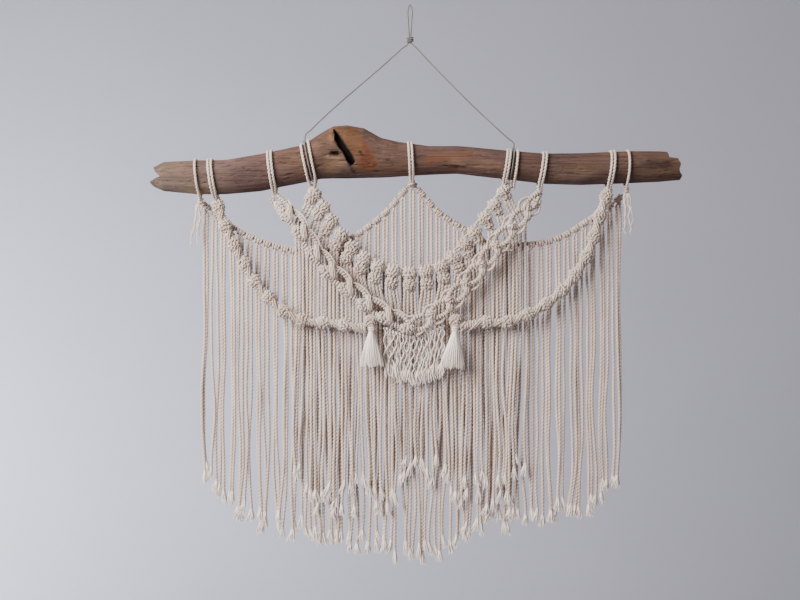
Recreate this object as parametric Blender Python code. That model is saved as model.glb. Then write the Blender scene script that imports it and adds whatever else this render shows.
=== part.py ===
"""Macrame wall hanging on a driftwood branch, in metres, +Z up, front towards -Y.

The origin is where a wall nail carries the top of the hanging twine. Cords hang straight down
from three lark's-head bars, from the square-knot tabs of a collar and from a small bar at the
centre. A lattice garland and two spiral bars with tassels hang in front of them.
"""
import math
import random
from collections import namedtuple

import bmesh
import bpy
from mathutils import Matrix, Vector

# ---- driving sizes ---------------------------------------------------------------------------
CORD = 0.0040                 # diameter of the three-ply cord
TWINE = 0.0020                # diameter of the hanging twine
GAP = 0.0003                  # air between neighbouring pieces
REST = 0.0004                 # air under a loop that lies on the branch
STRAND = 0.0021               # circumradius of a three-sided hanging strand
TAIL = 0.0011                 # circumradius of a thin loose end
TUFT_LENGTH = 0.011           # frayed end of a hanging strand
TUFT_SPREAD = 1.45            # its radius there, as a share of the strand's
TURN_IN = 0.030               # drop in which a strand goes from its root to its plumb line
PLUMB = 0.0005                # a root nearer than this to the plumb line needs no turning in
PITCH = 0.00530               # side-by-side spacing of the strands on a lark's-head bar
ROOT_DROP = 0.0075            # from the branch's underside to the knot under a loop
LOOP_TURN = (-50, 230)        # degrees of a loop's first and last point, 90 being the top
LOOP_STEPS = 8                # straight stretches of a loop round the branch
LOOP_SIDES = 5
LOOP_SWING = 0.0200           # usual radius round which a loop turns
LEG_PINCH = 0.6               # spread of a loop's cords at the knot, as a share
LEG_DEPTH = 0.0012            # from the knot's middle to either leg, front to back
SMOOTH_ANGLE = math.radians(50)
ROUTE_STEPS = 24              # steps between two given points while a route is smoothed

# Depth of each layer's middle
BACK_Y = 0.0090
COLLAR_Y = -0.0030
COLLAR_STRAND_Y = 0.0030
LATTICE_Y = -0.0128
SPIRAL_SIDE_Y = -0.0040
SPIRAL_FRONT_Y = -0.0085
CENTRE_FRINGE_Y = -0.0088
TASSEL_Y = -0.0130

# ---- branch ----------------------------------------------------------------------------------
BranchRow = namedtuple("BranchRow", "x top bottom half_depth")
BRANCH = (
    BranchRow(-0.3180, -0.1990, -0.2130, 0.0110),
    BranchRow(-0.3054, -0.1940, -0.2190, 0.0145),
    BranchRow(-0.2950, -0.1885, -0.2235, 0.0170),
    BranchRow(-0.2556, -0.1867, -0.2272, 0.0185),
    BranchRow(-0.2208, -0.1860, -0.2270, 0.0190),
    BranchRow(-0.1794, -0.1788, -0.2236, 0.0200),
    BranchRow(-0.1500, -0.1728, -0.2174, 0.0200),
    BranchRow(-0.1277, -0.1680, -0.2132, 0.0205),
    BranchRow(-0.1068, -0.1543, -0.2085, 0.0225),
    BranchRow(-0.0924, -0.1462, -0.2081, 0.0240),
    BranchRow(-0.0761, -0.1446, -0.2081, 0.0250),
    BranchRow(-0.0552, -0.1481, -0.2076, 0.0245),
    BranchRow(-0.0348, -0.1596, -0.2070, 0.0220),
    BranchRow(-0.0144, -0.1644, -0.2059, 0.0195),
    BranchRow(0.0224, -0.1692, -0.2038, 0.0175),
    BranchRow(0.0564, -0.1692, -0.2024, 0.0170),
    BranchRow(0.1028, -0.1736, -0.2076, 0.0172),
    BranchRow(0.1602, -0.1783, -0.2146, 0.0180),
    BranchRow(0.2064, -0.1778, -0.2160, 0.0185),
    BranchRow(0.2635, -0.1756, -0.2138, 0.0180),
    BranchRow(0.2990, -0.1756, -0.2122, 0.0172),
    BranchRow(0.3300, -0.1775, -0.2095, 0.0160),
)
BranchSwell = namedtuple("BranchSwell", "share around along")
BRANCH_SWELLS = (BranchSwell(0.020, 3, 31), BranchSwell(0.012, 5, -67))
BRANCH_SIDES = 14
BRANCH_SMOOTH_ANGLE = math.radians(35)
BRANCH_STATION = 0.034        # longest stretch between two sections
LEFT_END = ((-0.345, -0.170), (-0.3110, -0.186), (-0.3054, -0.1987), (-0.2971, -0.2070),
            (-0.3112, -0.2132), (-0.3036, -0.2214), (-0.310, -0.240), (-0.345, -0.240))
RIGHT_END = ((0.3040, -0.160), (0.3084, -0.1841), (0.3186, -0.1852), (0.3214, -0.1920),
             (0.3197, -0.2000), (0.3244, -0.2058), (0.3186, -0.225), (0.350, -0.225),
             (0.350, -0.160))
BURL_SLIT = ((-0.0910, -0.1500), (-0.0804, -0.1648), (-0.0703, -0.1777), (-0.0650, -0.1896),
             (-0.0703, -0.1946), (-0.0754, -0.1896), (-0.0793, -0.1798), (-0.0883, -0.1678))
SLIT_DEPTH = 0.013
KNOT_HOLE = (-0.0898, -0.1802)
KNOT_HOLE_SIZE = (0.0055, 0.0030)
KNOT_HOLE_DEPTH = 0.005
KNOT_HOLE_SIDES = 6
CUT_REACH = 0.06              # how far a cutter reaches in front of and behind the branch

# ---- loops of cord over the branch -----------------------------------------------------------
Loop = namedtuple("Loop", "x_top x_bottom cords spread")
LEFT_OUTER = Loop(-0.2568, -0.2515, 1, 0.0)
LEFT_SPIRAL = Loop(-0.2395, -0.2332, 2, 0.0048)
LEFT_LATTICE = Loop(-0.1682, -0.1622, 2, 0.0048)
LEFT_COLLAR = Loop(-0.1262, -0.1165, 2, 0.0088)
CENTRE = Loop(-0.0002, 0.0022, 2, 0.0048)
RIGHT_COLLAR_INNER = Loop(0.1178, 0.1130, 2, 0.0048)
RIGHT_COLLAR_OUTER = Loop(0.1292, 0.1245, 1, 0.0)
RIGHT_LATTICE = Loop(0.1618, 0.1554, 2, 0.0048)
RIGHT_SPIRAL = Loop(0.2426, 0.2381, 2, 0.0048)
RIGHT_OUTER = Loop(0.2610, 0.2592, 1, 0.0)
TIE_LEFT = Loop(-0.1262, -0.1165, 1, 0.0)
TIE_RIGHT = Loop(0.1246, 0.1192, 1, 0.0)

# ---- lark's-head bars: the line of each bar, x and z -----------------------------------------
LEFT_BAR = ((-0.2515, -0.2355), (-0.2136, -0.2672), (-0.1796, -0.2840), (-0.1442, -0.2942),
            (-0.1185, -0.2962), (-0.1030, -0.2958))
PEAK_BAR_LEFT = ((0.0000, -0.2145), (-0.0070, -0.2228), (-0.0300, -0.2494), (-0.0565, -0.2705),
                 (-0.0975, -0.2950))
PEAK_BAR_RIGHT = ((0.0040, -0.2145), (0.0146, -0.2264), (0.0358, -0.2494), (0.0569, -0.2632),
                  (0.0972, -0.2892))
RIGHT_BAR = ((0.2592, -0.2240), (0.2108, -0.2612), (0.1841, -0.2772), (0.1562, -0.2858),
             (0.1380, -0.2880), (0.0996, -0.2900))
BAR_RADIUS = 0.0036
BAR_DIP = 0.80                # radius between two lark's heads, as a share
BAR_SIDES = 5
HEAD_PITCH = 0.0095
SIDE_KNOT = (0.0040, 0.0046, 0.0044)      # half sizes of the knot at a side bar's loop
BAR_SET_BACK = 0.0010         # a side bar starts this far behind its knot's middle
TAIL_SET_FRONT = -0.0010      # its loose ends start this far in front and below
PEAK = (0.0020, BACK_Y, -0.2165)          # where the two bars of the peak meet
PEAK_NECK_SWELL = 1.1

# Loose ends beside the outer loops: start beside the knot, x and z of the end
LEFT_TAILS = ((-0.0020, -0.2624, -0.288), (0.0005, -0.2544, -0.288))
RIGHT_TAILS = ((-0.0005, 0.2575, -0.275), (0.0025, 0.2664, -0.275))

# Lowest points of the back strands and of the collar's strands, x and z
BACK_HEM = ((-0.2440, -0.570), (-0.2220, -0.603), (-0.1850, -0.628), (-0.1020, -0.648),
            (-0.0228, -0.664), (0.0012, -0.672), (0.0540, -0.660), (0.0800, -0.640),
            (0.1272, -0.628), (0.1920, -0.620), (0.2304, -0.600), (0.2640, -0.564))
COLLAR_HEM = ((-0.1380, -0.572), (-0.1176, -0.606), (-0.0336, -0.602), (0.0084, -0.566),
              (0.0528, -0.594), (0.1176, -0.604), (0.1386, -0.560))
HEM_UNEVEN = 0.007
LEFT_STRANDS = (-0.2440, 28)  # x of the first strand, number of strands
PEAK_STRANDS = (-0.0955, 37)
RIGHT_STRANDS = (0.1014, 31)

# ---- collar of square-knot tabs --------------------------------------------------------------
COLLAR = ((-0.1160, -0.2290), (-0.0985, -0.2610), (-0.0727, -0.2960), (-0.0407, -0.3195),
          (0.0023, -0.3280), (0.0430, -0.3180), (0.0700, -0.2900), (0.0964, -0.2550),
          (0.1140, -0.2270))
TABS = 17
TAB_LENGTH = 0.031
TAB_WIDTH = 0.0165
TAB_THICK = 0.0088
TAB_RIDGES = 2
TAB_DIP = 0.84                # width between two ridges, as a share
TAB_SIDES = 6
TAB_LEAN = 0.55               # share of the collar's own slope that a tab takes
TAB_SHORT = 0.72              # length of the outermost tabs, as a share
TAB_SHORT_POWER = 6           # the higher, the fewer tabs are short
END_TABS = 4                  # tabs at each end that carry one cord fewer
COLLAR_EDGE = 0.1380          # half width of the row of strands below the tabs
TAB_CORD_PITCH = 0.0041
TAB_BITE = 0.0040             # how far a strand starts inside its tab
FOLD_DROP = 0.0045            # from a tab's top to the holding cord inside it
HOLDING_CORD_STEP = 0.0100
COLLAR_STRAND_SHARE = 0.95    # radius of its strands, as a share of the back ones'
COLLAR_KNOT_LEFT = (0.0052, 0.0048, 0.0042)
COLLAR_KNOT_RIGHT = (0.0092, 0.0048, 0.0042)
COLLAR_KNOT_SHIFT = 0.0050    # the right knot also binds the loop to the right of its own

# ---- lattice garland -------------------------------------------------------------------------
LATTICE = ((-0.1622, 0.0, -0.2300), (-0.1526, -0.0060, -0.2420),
           (-0.1358, LATTICE_Y, -0.2624), (-0.1105, LATTICE_Y, -0.3010),
           (-0.0752, LATTICE_Y, -0.3379), (-0.0348, LATTICE_Y, -0.3683),
           (0.0040, LATTICE_Y, -0.3838), (0.0310, LATTICE_Y, -0.3690),
           (0.0600, LATTICE_Y, -0.3420), (0.0860, LATTICE_Y, -0.3110),
           (0.1080, LATTICE_Y, -0.2820), (0.1330, LATTICE_Y, -0.2530),
           (0.1480, -0.0060, -0.2350), (0.1554, 0.0, -0.2250))
LATTICE_REPEATS = 16
WAVE_HEIGHT = 0.0082          # half width of the two thick waving bars
WAVE_RADIUS = 0.0040
WAVE_DIP = 0.0019             # the same where the two bars are knotted together
PICOT_HEIGHT = 0.0116
PICOT_DIP = 0.0098
PICOT_RADIUS = 0.0018
GARLAND_STEPS = 3             # straight stretches in each repeat of the lattice
WAVE_SWELL = 1.12             # of the bars where they are knotted together

# ---- spiral bars -----------------------------------------------------------------------------
SPIRAL_SIDES = 6
SPIRAL_LEFT = ((-0.2332, 0.0, -0.2320), (-0.2250, -0.0020, -0.2560),
               (-0.2082, SPIRAL_SIDE_Y, -0.2926), (-0.1796, SPIRAL_SIDE_Y, -0.3396),
               (-0.1442, SPIRAL_FRONT_Y, -0.3716), (-0.1207, SPIRAL_FRONT_Y, -0.3800),
               (-0.0937, SPIRAL_FRONT_Y, -0.3816), (-0.0515, TASSEL_Y, -0.3885))
SPIRAL_RIGHT = ((0.2381, 0.0, -0.2210), (0.2290, -0.0020, -0.2480),
                (0.2136, SPIRAL_SIDE_Y, -0.2964), (0.1808, SPIRAL_SIDE_Y, -0.3440),
                (0.1404, SPIRAL_FRONT_Y, -0.3716), (0.1128, SPIRAL_FRONT_Y, -0.3809),
                (0.0872, SPIRAL_FRONT_Y, -0.3809), (0.0590, TASSEL_Y, -0.3880))
SPIRAL_WIDE = 0.0068          # half width of the flat bar that turns
SPIRAL_THIN = 0.0042          # its half thickness
SPIRAL_HALF_TURN = 0.030      # length in which it turns half way round
SPIRAL_STEP = 0.0068

# ---- tassels and centre fringe ---------------------------------------------------------------
Tassel = namedtuple("Tassel", "x z_head z_hem")
TASSEL_LEFT = Tassel(-0.0460, -0.3890, -0.4330)
TASSEL_RIGHT = Tassel(0.0535, -0.3890, -0.4355)
TASSEL_HEAD = 0.0052          # half width of the head
TASSEL_HEAD_DEPTH = 0.9       # its half depth and half height, as shares of that
TASSEL_HEAD_HEIGHT = 1.25
TASSEL_NECK_DROP = 0.6        # from the head's middle to the locks' start, likewise
TASSEL_NECK = 0.0032          # radius of the ring in which the locks start
TASSEL_KNEE = (0.0085, 0.0058, -0.0120)   # half width, half depth and drop at the knee
TASSEL_LOCKS = 12
TASSEL_HALF_WIDTH = 0.0130
TASSEL_HALF_DEPTH = 0.0075
LOCK = 0.0021
LOCK_START = 0.3              # a lock's radius at its start and at its knee, as shares
LOCK_KNEE = 0.8

CENTRE_BAR = ((-0.0312, -0.3870), (-0.0140, -0.3945), (0.0036, -0.3978), (0.0210, -0.3940),
              (0.0408, -0.3840))
CENTRE_BAR_RADIUS = 0.0021
CENTRE_BAR_STEP = 0.0075
CENTRE_STRANDS = 24
CENTRE_STRAND = 0.0010
CENTRE_HEM = ((-0.0312, -0.443), (0.0040, -0.452), (0.0408, -0.441))
CENTRE_HEM_UNEVEN = (-0.004, 0.003)
CENTRE_BENDS = 3
CENTRE_CRINKLE = 0.00084      # side swing of a centre strand's bends
CENTRE_TIP_SPREAD = 1.35
TAIL_CRINKLE = 0.0012         # side swing of a loose end's bends
TAIL_BENDS = 4

# ---- twine -----------------------------------------------------------------------------------
HITCH_Z = -0.0420
HITCH_RADIUS = 0.0039
HITCH_TURN_RADIUS = 0.0011
HITCH_STRETCH = (1.0, 0.85, 1.6)
TWINE_HALF = 0.0012           # half the distance between the twine's two legs in the hitch
NAIL_LOOP = ((1.6, -0.0220), (1.3, -0.0025))   # half widths as shares of that, and heights
TWINE_ROUTE_LEFT = ((-0.1258, -0.1570), (-0.1180, -0.1490), (-0.0235, -0.0648),
                    (-0.0100, -0.0525), (-0.0016, -0.0450))
TWINE_ROUTE_RIGHT = ((0.0016, -0.0450), (0.0075, -0.0515), (0.0192, -0.0640),
                     (0.1180, -0.1605), (0.1247, -0.1664))
TWINE_STEP = 0.0070
TWINE_SIDES = 8
TIE_TURN_STEPS = 14
TIE_KNOT = 0.0024             # half depth of the knot on a tie
TIE_KNOT_LIFT = 0.0010
TIE_KNOT_WIDTH = 0.75         # its half width and half height, as shares of the half depth
TIE_KNOT_HEIGHT = 0.7

CREAM = (0.74, 0.67, 0.60, 1.0)
CREAM_SHADE = (0.66, 0.58, 0.51, 1.0)
WOOD = (0.30, 0.20, 0.14, 1.0)
STRING = (0.62, 0.58, 0.52, 1.0)


# ---- scene and helpers -----------------------------------------------------------------------
def clear_scene():
    """Removes every object, so that the script starts with an empty scene."""
    for item in list(bpy.data.objects):
        bpy.data.objects.remove(item, do_unlink=True)


def make_collection(name):
    """A new collection in the scene."""
    collection = bpy.data.collections.new(name)
    bpy.context.scene.collection.children.link(collection)
    return collection


def make_material(name, colour, roughness):
    """A plain surface of one colour."""
    material = bpy.data.materials.new(name)
    material.use_nodes = True
    shader = material.node_tree.nodes["Principled BSDF"]
    shader.inputs["Base Color"].default_value = colour
    shader.inputs["Roughness"].default_value = roughness
    shader.inputs["Metallic"].default_value = 0.0
    return material


def new_object(name, data):
    """An object for a mesh or curve, in the scene's own collection."""
    item = bpy.data.objects.new(name, data)
    bpy.context.scene.collection.objects.link(item)
    return item


def evaluated_mesh(item):
    """The mesh of an object with its modifiers and curve bevel worked out."""
    bpy.context.view_layer.update()
    depsgraph = bpy.context.evaluated_depsgraph_get()
    return bpy.data.meshes.new_from_object(item.evaluated_get(depsgraph))


def lerp_table(table, x):
    """Height of a table of (x, z) rows at x, held level beyond its ends."""
    if x <= table[0][0]:
        return table[0][1]
    for (x0, z0), (x1, z1) in zip(table, table[1:]):
        if x <= x1:
            return z0 + (z1 - z0) * (x - x0) / (x1 - x0)
    return table[-1][1]


def smooth_route(points, step):
    """Evenly spaced points on a smooth curve through the given points."""
    knots = [Vector(p) for p in points]
    spans = [(b - a).length for a, b in zip(knots, knots[1:])]
    slopes = [(knots[1] - knots[0]) / spans[0]]
    for i in range(1, len(knots) - 1):
        before, after = spans[i - 1], spans[i]
        slopes.append(((knots[i] - knots[i - 1]) * after / before
                       + (knots[i + 1] - knots[i]) * before / after) / (before + after))
    slopes.append((knots[-1] - knots[-2]) / spans[-1])
    fine = []
    for i, span in enumerate(spans):
        for k in range(ROUTE_STEPS):
            t = k / ROUTE_STEPS
            fine.append(knots[i] * (1 - 3 * t ** 2 + 2 * t ** 3)
                        + knots[i + 1] * (3 * t ** 2 - 2 * t ** 3)
                        + slopes[i] * span * (t - 2 * t ** 2 + t ** 3)
                        + slopes[i + 1] * span * (t ** 3 - t ** 2))
    fine.append(knots[-1])
    lengths = [0.0]
    for a, b in zip(fine, fine[1:]):
        lengths.append(lengths[-1] + (b - a).length)
    count = max(2, round(lengths[-1] / step) + 1)
    route, j = [], 0
    for i in range(count):
        want = lengths[-1] * i / (count - 1)
        while j < len(fine) - 2 and lengths[j + 1] < want:
            j += 1
        share = (want - lengths[j]) / (lengths[j + 1] - lengths[j])
        route.append(fine[j].lerp(fine[j + 1], min(1.0, max(0.0, share))))
    return route


def flat_route(table, y, step):
    """A smooth route through a table of (x, z) rows at one depth."""
    return smooth_route([(x, y, z) for x, z in table], step)


def make_profile(sides):
    """A closed polygon of unit radius, the section that tubes follow."""
    curve = bpy.data.curves.new(f"profile_{sides}", "CURVE")
    curve.dimensions = "2D"
    spline = curve.splines.new("POLY")
    spline.points.add(sides - 1)
    for i, point in enumerate(spline.points):
        angle = 2 * math.pi * (i + 0.5) / sides
        point.co = (math.cos(angle), math.sin(angle), 0.0, 1.0)
    spline.use_cyclic_u = True
    return new_object(curve.name, curve)


def tube(name, routes, sides, cyclic=False):
    """One mesh of tubes. Each route is a list of (point, radius)."""
    profile = make_profile(sides)
    curve = bpy.data.curves.new(name, "CURVE")
    curve.dimensions = "3D"
    curve.bevel_mode = "OBJECT"
    curve.bevel_object = profile
    curve.use_fill_caps = not cyclic
    for route in routes:
        spline = curve.splines.new("POLY")
        spline.points.add(len(route) - 1)
        for point, (place, radius) in zip(spline.points, route):
            point.co = (*place, 1.0)
            point.radius = radius
        spline.use_cyclic_u = cyclic
    item = new_object(name, curve)
    mesh = evaluated_mesh(item)
    bpy.data.objects.remove(item, do_unlink=True)
    bpy.data.objects.remove(profile, do_unlink=True)
    return welded(name, mesh)


def welded(name, mesh):
    """An object of the mesh, with its caps joined on and its faces pointing out."""
    cage = bmesh.new()
    cage.from_mesh(mesh)
    bmesh.ops.remove_doubles(cage, verts=cage.verts, dist=1e-6)
    bmesh.ops.recalc_face_normals(cage, faces=cage.faces)
    cage.to_mesh(mesh)
    cage.free()
    mesh.name = name
    return new_object(name, mesh)


def loft(name, rings):
    """A closed solid through rings of equal point counts."""
    cage = bmesh.new()
    loops = [[cage.verts.new(p) for p in ring] for ring in rings]
    count = len(loops[0])
    for low, high in zip(loops, loops[1:]):
        for i in range(count):
            j = (i + 1) % count
            cage.faces.new((low[i], low[j], high[j], high[i]))
    cage.faces.new(loops[0][::-1])
    cage.faces.new(loops[-1])
    bmesh.ops.recalc_face_normals(cage, faces=cage.faces)
    mesh = bpy.data.meshes.new(name)
    cage.to_mesh(mesh)
    cage.free()
    return new_object(name, mesh)


def lump(name, place, size, segments=8, rings=5):
    """A rounded knot: a small sphere stretched to its three half sizes."""
    cage = bmesh.new()
    bmesh.ops.create_uvsphere(cage, u_segments=segments, v_segments=rings, radius=1.0)
    bmesh.ops.transform(cage, matrix=Matrix.Translation(place) @ Matrix.Diagonal((*size, 1.0)),
                        verts=cage.verts)
    mesh = bpy.data.meshes.new(name)
    cage.to_mesh(mesh)
    cage.free()
    return new_object(name, mesh)


def fused(name, pieces):
    """Pieces that overlap, made one body."""
    body = pieces[0]
    for piece in pieces[1:]:
        union = body.modifiers.new("union", "BOOLEAN")
        union.operation = "UNION"
        union.solver = "EXACT"
        union.use_self = True
        union.object = piece
        mesh = evaluated_mesh(body)
        bpy.data.objects.remove(piece, do_unlink=True)
        body.modifiers.clear()
        body.data = mesh
    body.name = name
    body.data.name = name
    return body


def finish(item, collection, material, smooth_angle=SMOOTH_ANGLE):
    """Puts a finished piece in its collection, with its material and smooth shading."""
    for holder in list(item.users_collection):
        holder.objects.unlink(item)
    collection.objects.link(item)
    item.data.materials.clear()
    item.data.materials.append(material)
    item.data.shade_smooth()
    item.data.set_sharp_from_angle(angle=smooth_angle)


# ---- branch ----------------------------------------------------------------------------------
def branch_row(x):
    """Top, bottom and half depth of the branch at x."""
    for low, high in zip(BRANCH, BRANCH[1:]):
        if x <= high.x:
            t = (x - low.x) / (high.x - low.x)
            return [low[k] + (high[k] - low[k]) * t for k in (1, 2, 3)]
    return list(BRANCH[-1][1:])


def branch_point(x, angle, lift=0.0):
    """Point on the branch. Angle 0 faces the front and 90 degrees is the top."""
    top, bottom, half_depth = branch_row(x)
    half_height = (top - bottom) / 2
    swell = 1.0
    for wave in BRANCH_SWELLS:
        swell += wave.share * math.sin(wave.around * angle + wave.along * x)
    across = -half_depth * swell * math.cos(angle)
    up = half_height * math.sin(angle)
    out = Vector((0.0, across / half_depth ** 2, up / half_height ** 2)).normalized()
    return Vector((x, across, (top + bottom) / 2 + up)) + out * lift


def flat_cutter(name, outline, y_front, y_back):
    """A cutter whose outline is drawn in x and z, from y_front to y_back."""
    curve = bpy.data.curves.new(name, "CURVE")
    curve.dimensions = "2D"
    curve.fill_mode = "BOTH"
    curve.extrude = (y_back - y_front) / 2
    spline = curve.splines.new("POLY")
    spline.points.add(len(outline) - 1)
    for point, (x, z) in zip(spline.points, outline):
        point.co = (x, z, 0.0, 1.0)
    spline.use_cyclic_u = True
    item = new_object(name, curve)
    mesh = evaluated_mesh(item)
    bpy.data.objects.remove(item, do_unlink=True)
    mesh.transform(Matrix.Translation((0.0, (y_front + y_back) / 2, 0.0))
                   @ Matrix.Rotation(math.pi / 2, 4, "X"))
    return welded(name, mesh)


def build_branch(parts, cutters, material):
    """The branch with its broken ends, the slit in its burl and a knot hole."""
    angles = [2 * math.pi * i / BRANCH_SIDES for i in range(BRANCH_SIDES)]
    stations = [BRANCH[0].x]
    for low, high in zip(BRANCH, BRANCH[1:]):
        steps = max(1, round((high.x - low.x) / BRANCH_STATION))
        stations += [low.x + (high.x - low.x) * (i + 1) / steps for i in range(steps)]
    branch = loft("driftwood_branch", [[branch_point(x, a) for a in angles] for x in stations])
    front = min(vertex.co.y for vertex in branch.data.vertices)
    hole = []
    for i in range(KNOT_HOLE_SIDES):
        angle = 2 * math.pi * i / KNOT_HOLE_SIDES
        hole.append((KNOT_HOLE[0] + KNOT_HOLE_SIZE[0] * math.cos(angle),
                     KNOT_HOLE[1] + KNOT_HOLE_SIZE[1] * math.sin(angle)))
    hole_front = branch_point(KNOT_HOLE[0], 0.0).y
    cuts = (("left_end_cutter", LEFT_END, -CUT_REACH, CUT_REACH),
            ("right_end_cutter", RIGHT_END, -CUT_REACH, CUT_REACH),
            ("burl_slit_cutter", BURL_SLIT, -CUT_REACH, front + SLIT_DEPTH),
            ("knot_hole_cutter", hole, -CUT_REACH, hole_front + KNOT_HOLE_DEPTH))
    for name, outline, y_front, y_back in cuts:
        cutter = flat_cutter(name, outline, y_front, y_back)
        bpy.context.scene.collection.objects.unlink(cutter)
        cutters.objects.link(cutter)
        cutter.hide_render = True
        cutter.display_type = "WIRE"
        cut = branch.modifiers.new(name, "BOOLEAN")
        cut.operation = "DIFFERENCE"
        cut.solver = "EXACT"
        cut.object = cutter
    finish(branch, parts, material, BRANCH_SMOOTH_ANGLE)


# ---- loops over the branch -------------------------------------------------------------------
def loop_root(loop):
    """The point under the branch where a loop's two legs meet."""
    return Vector((loop.x_bottom, 0.0, branch_row(loop.x_bottom)[1] - ROOT_DROP))


def loop_cords(loop):
    """Routes of a loop's cords: up the front, over the top, down the back."""
    first, last = (math.radians(angle) for angle in LOOP_TURN)
    root = loop_root(loop)
    swing = LOOP_SWING * (1 / math.cos((last - first) / LOOP_STEPS / 2) - 1)
    routes = []
    for k in range(loop.cords):
        side = (k - (loop.cords - 1) / 2) * loop.spread
        turn = [first + (last - first) * i / LOOP_STEPS for i in range(LOOP_STEPS + 1)]
        route = []
        for angle in turn:
            lean = (1 - math.sin(angle)) / 2
            x = loop.x_top + (loop.x_bottom - loop.x_top) * lean + side
            route.append(branch_point(x, angle, CORD / 2 + REST + swing))
        ends = [root + Vector((side * LEG_PINCH, y, 0.0)) for y in (-LEG_DEPTH, LEG_DEPTH)]
        route = [ends[0]] + route + [ends[1]]
        routes.append([(point, CORD / 2) for point in route])
    return routes


# ---- hanging strands -------------------------------------------------------------------------
def strand_route(root, x, y, z_hem, radius):
    """A strand that leaves its root, turns plumb and ends in a frayed tuft."""
    route = [(Vector(root), radius)]
    if abs(x - root[0]) > PLUMB or abs(y - root[1]) > PLUMB:
        route.append((Vector((x, y, root[2] - TURN_IN)), radius))
    route += [(Vector((x, y, z_hem + TUFT_LENGTH)), radius),
              (Vector((x, y, z_hem)), radius * TUFT_SPREAD)]
    return route


def ridged_route(route, radius, pitch):
    """Swells a bar's radius at each knot along it."""
    ridged, travelled = [], 0.0
    for i, point in enumerate(route):
        if i:
            travelled += (point - route[i - 1]).length
        swell = abs(math.sin(math.pi * travelled / pitch))
        ridged.append((point, radius * (BAR_DIP + (1 - BAR_DIP) * swell)))
    return ridged


def point_on(route, x):
    """The point of a bar's line at x."""
    depths = sorted((point.x, point.y) for point in route)
    heights = sorted((point.x, point.z) for point in route)
    return (x, lerp_table(depths, x), lerp_table(heights, x))


def lark_head_strands(route, first_x, count, hem_seed):
    """Strands that hang plumb from a bar, evenly spaced, with an uneven hem."""
    uneven = random.Random(hem_seed)
    strands = []
    for i in range(count):
        x = first_x + PITCH * i
        root = point_on(route, x)
        z_hem = lerp_table(BACK_HEM, x) + uneven.uniform(-HEM_UNEVEN, HEM_UNEVEN)
        strands.append(strand_route(root, x, BACK_Y, z_hem, STRAND))
    return strands


def crinkled_tail(root, x_end, z_end):
    """A thin loose end that zigzags from its root."""
    start, end = Vector(root), Vector((x_end, root[1], z_end))
    route = []
    for i in range(TAIL_BENDS + 1):
        bend = TAIL_CRINKLE * (-1) ** i if i else 0.0
        route.append((start.lerp(end, i / TAIL_BENDS) + Vector((bend, 0.0, 0.0)), TAIL))
    return route


def side_fringe(name, bar, loop, strands, tail_ends, seed):
    """A lark's-head bar from its loop on the branch, with its strands and loose ends."""
    root = loop_root(loop)
    start = root + Vector((0.0, BAR_SET_BACK, 0.0))
    line = smooth_route([start] + [(x, BACK_Y, z) for x, z in bar], HEAD_PITCH / 2)
    tails = []
    for beside, x, z in tail_ends:
        tail_root = root + Vector((beside, TAIL_SET_FRONT, TAIL_SET_FRONT))
        tails.append(crinkled_tail(tail_root, x, z))
    pieces = [tube("bar", [ridged_route(line, BAR_RADIUS, HEAD_PITCH)], BAR_SIDES),
              tube("loops", loop_cords(loop), LOOP_SIDES),
              lump("knot", root, SIDE_KNOT),
              tube("tails", tails, 3),
              tube("strands", lark_head_strands(line, *strands, seed), 3)]
    return fused(name, pieces)


def peak_fringe():
    """The two slanting bars that meet under the centre loop, with their strands."""
    root = loop_root(CENTRE)
    left = flat_route(PEAK_BAR_LEFT, BACK_Y, HEAD_PITCH / 2)
    right = flat_route(PEAK_BAR_RIGHT, BACK_Y, HEAD_PITCH / 2)
    neck = [(root, BAR_RADIUS), (Vector(PEAK), BAR_RADIUS * PEAK_NECK_SWELL)]
    roof = left[::-1] + right
    pieces = [tube("bar", [ridged_route(roof, BAR_RADIUS, HEAD_PITCH)], BAR_SIDES),
              tube("neck", [neck], BAR_SIDES + 1),
              tube("loops", loop_cords(CENTRE), LOOP_SIDES),
              tube("strands", lark_head_strands(roof, *PEAK_STRANDS, 3), 3)]
    return fused("fringe_peak", pieces)


# ---- collar ----------------------------------------------------------------------------------
def tab_solid(centre, down, length):
    """A short square-knot bar with a ridge for each knot."""
    across = Vector((down.z, 0.0, -down.x))
    depth = Vector((0.0, 1.0, 0.0))
    rings = []
    for i in range(2 * TAB_RIDGES + 1):
        swell = 1.0 if i % 2 else TAB_DIP
        middle = centre + down * (i / (2 * TAB_RIDGES) - 0.5) * length
        rings.append([middle + across * TAB_WIDTH / 2 * swell * math.cos(a)
                      + depth * TAB_THICK / 2 * swell * math.sin(a)
                      for a in (2 * math.pi * k / TAB_SIDES for k in range(TAB_SIDES))])
    return loft("tab", rings)


def collar_tabs():
    """Middle, downward direction and length of each tab."""
    line = flat_route(COLLAR, COLLAR_Y, 0.001)
    last = len(line) - 1
    tabs = []
    for i in range(TABS):
        share = i / (TABS - 1)
        at = round(share * last)
        ahead = line[min(at + 4, last)] - line[max(at - 4, 0)]
        lean = math.atan2(ahead.z, ahead.x) * TAB_LEAN
        down = Vector((math.sin(lean), 0.0, -math.cos(lean)))
        length = TAB_LENGTH * (1 - (1 - TAB_SHORT) * abs(2 * share - 1) ** TAB_SHORT_POWER)
        tabs.append((line[at], down, length))
    return tabs


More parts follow.
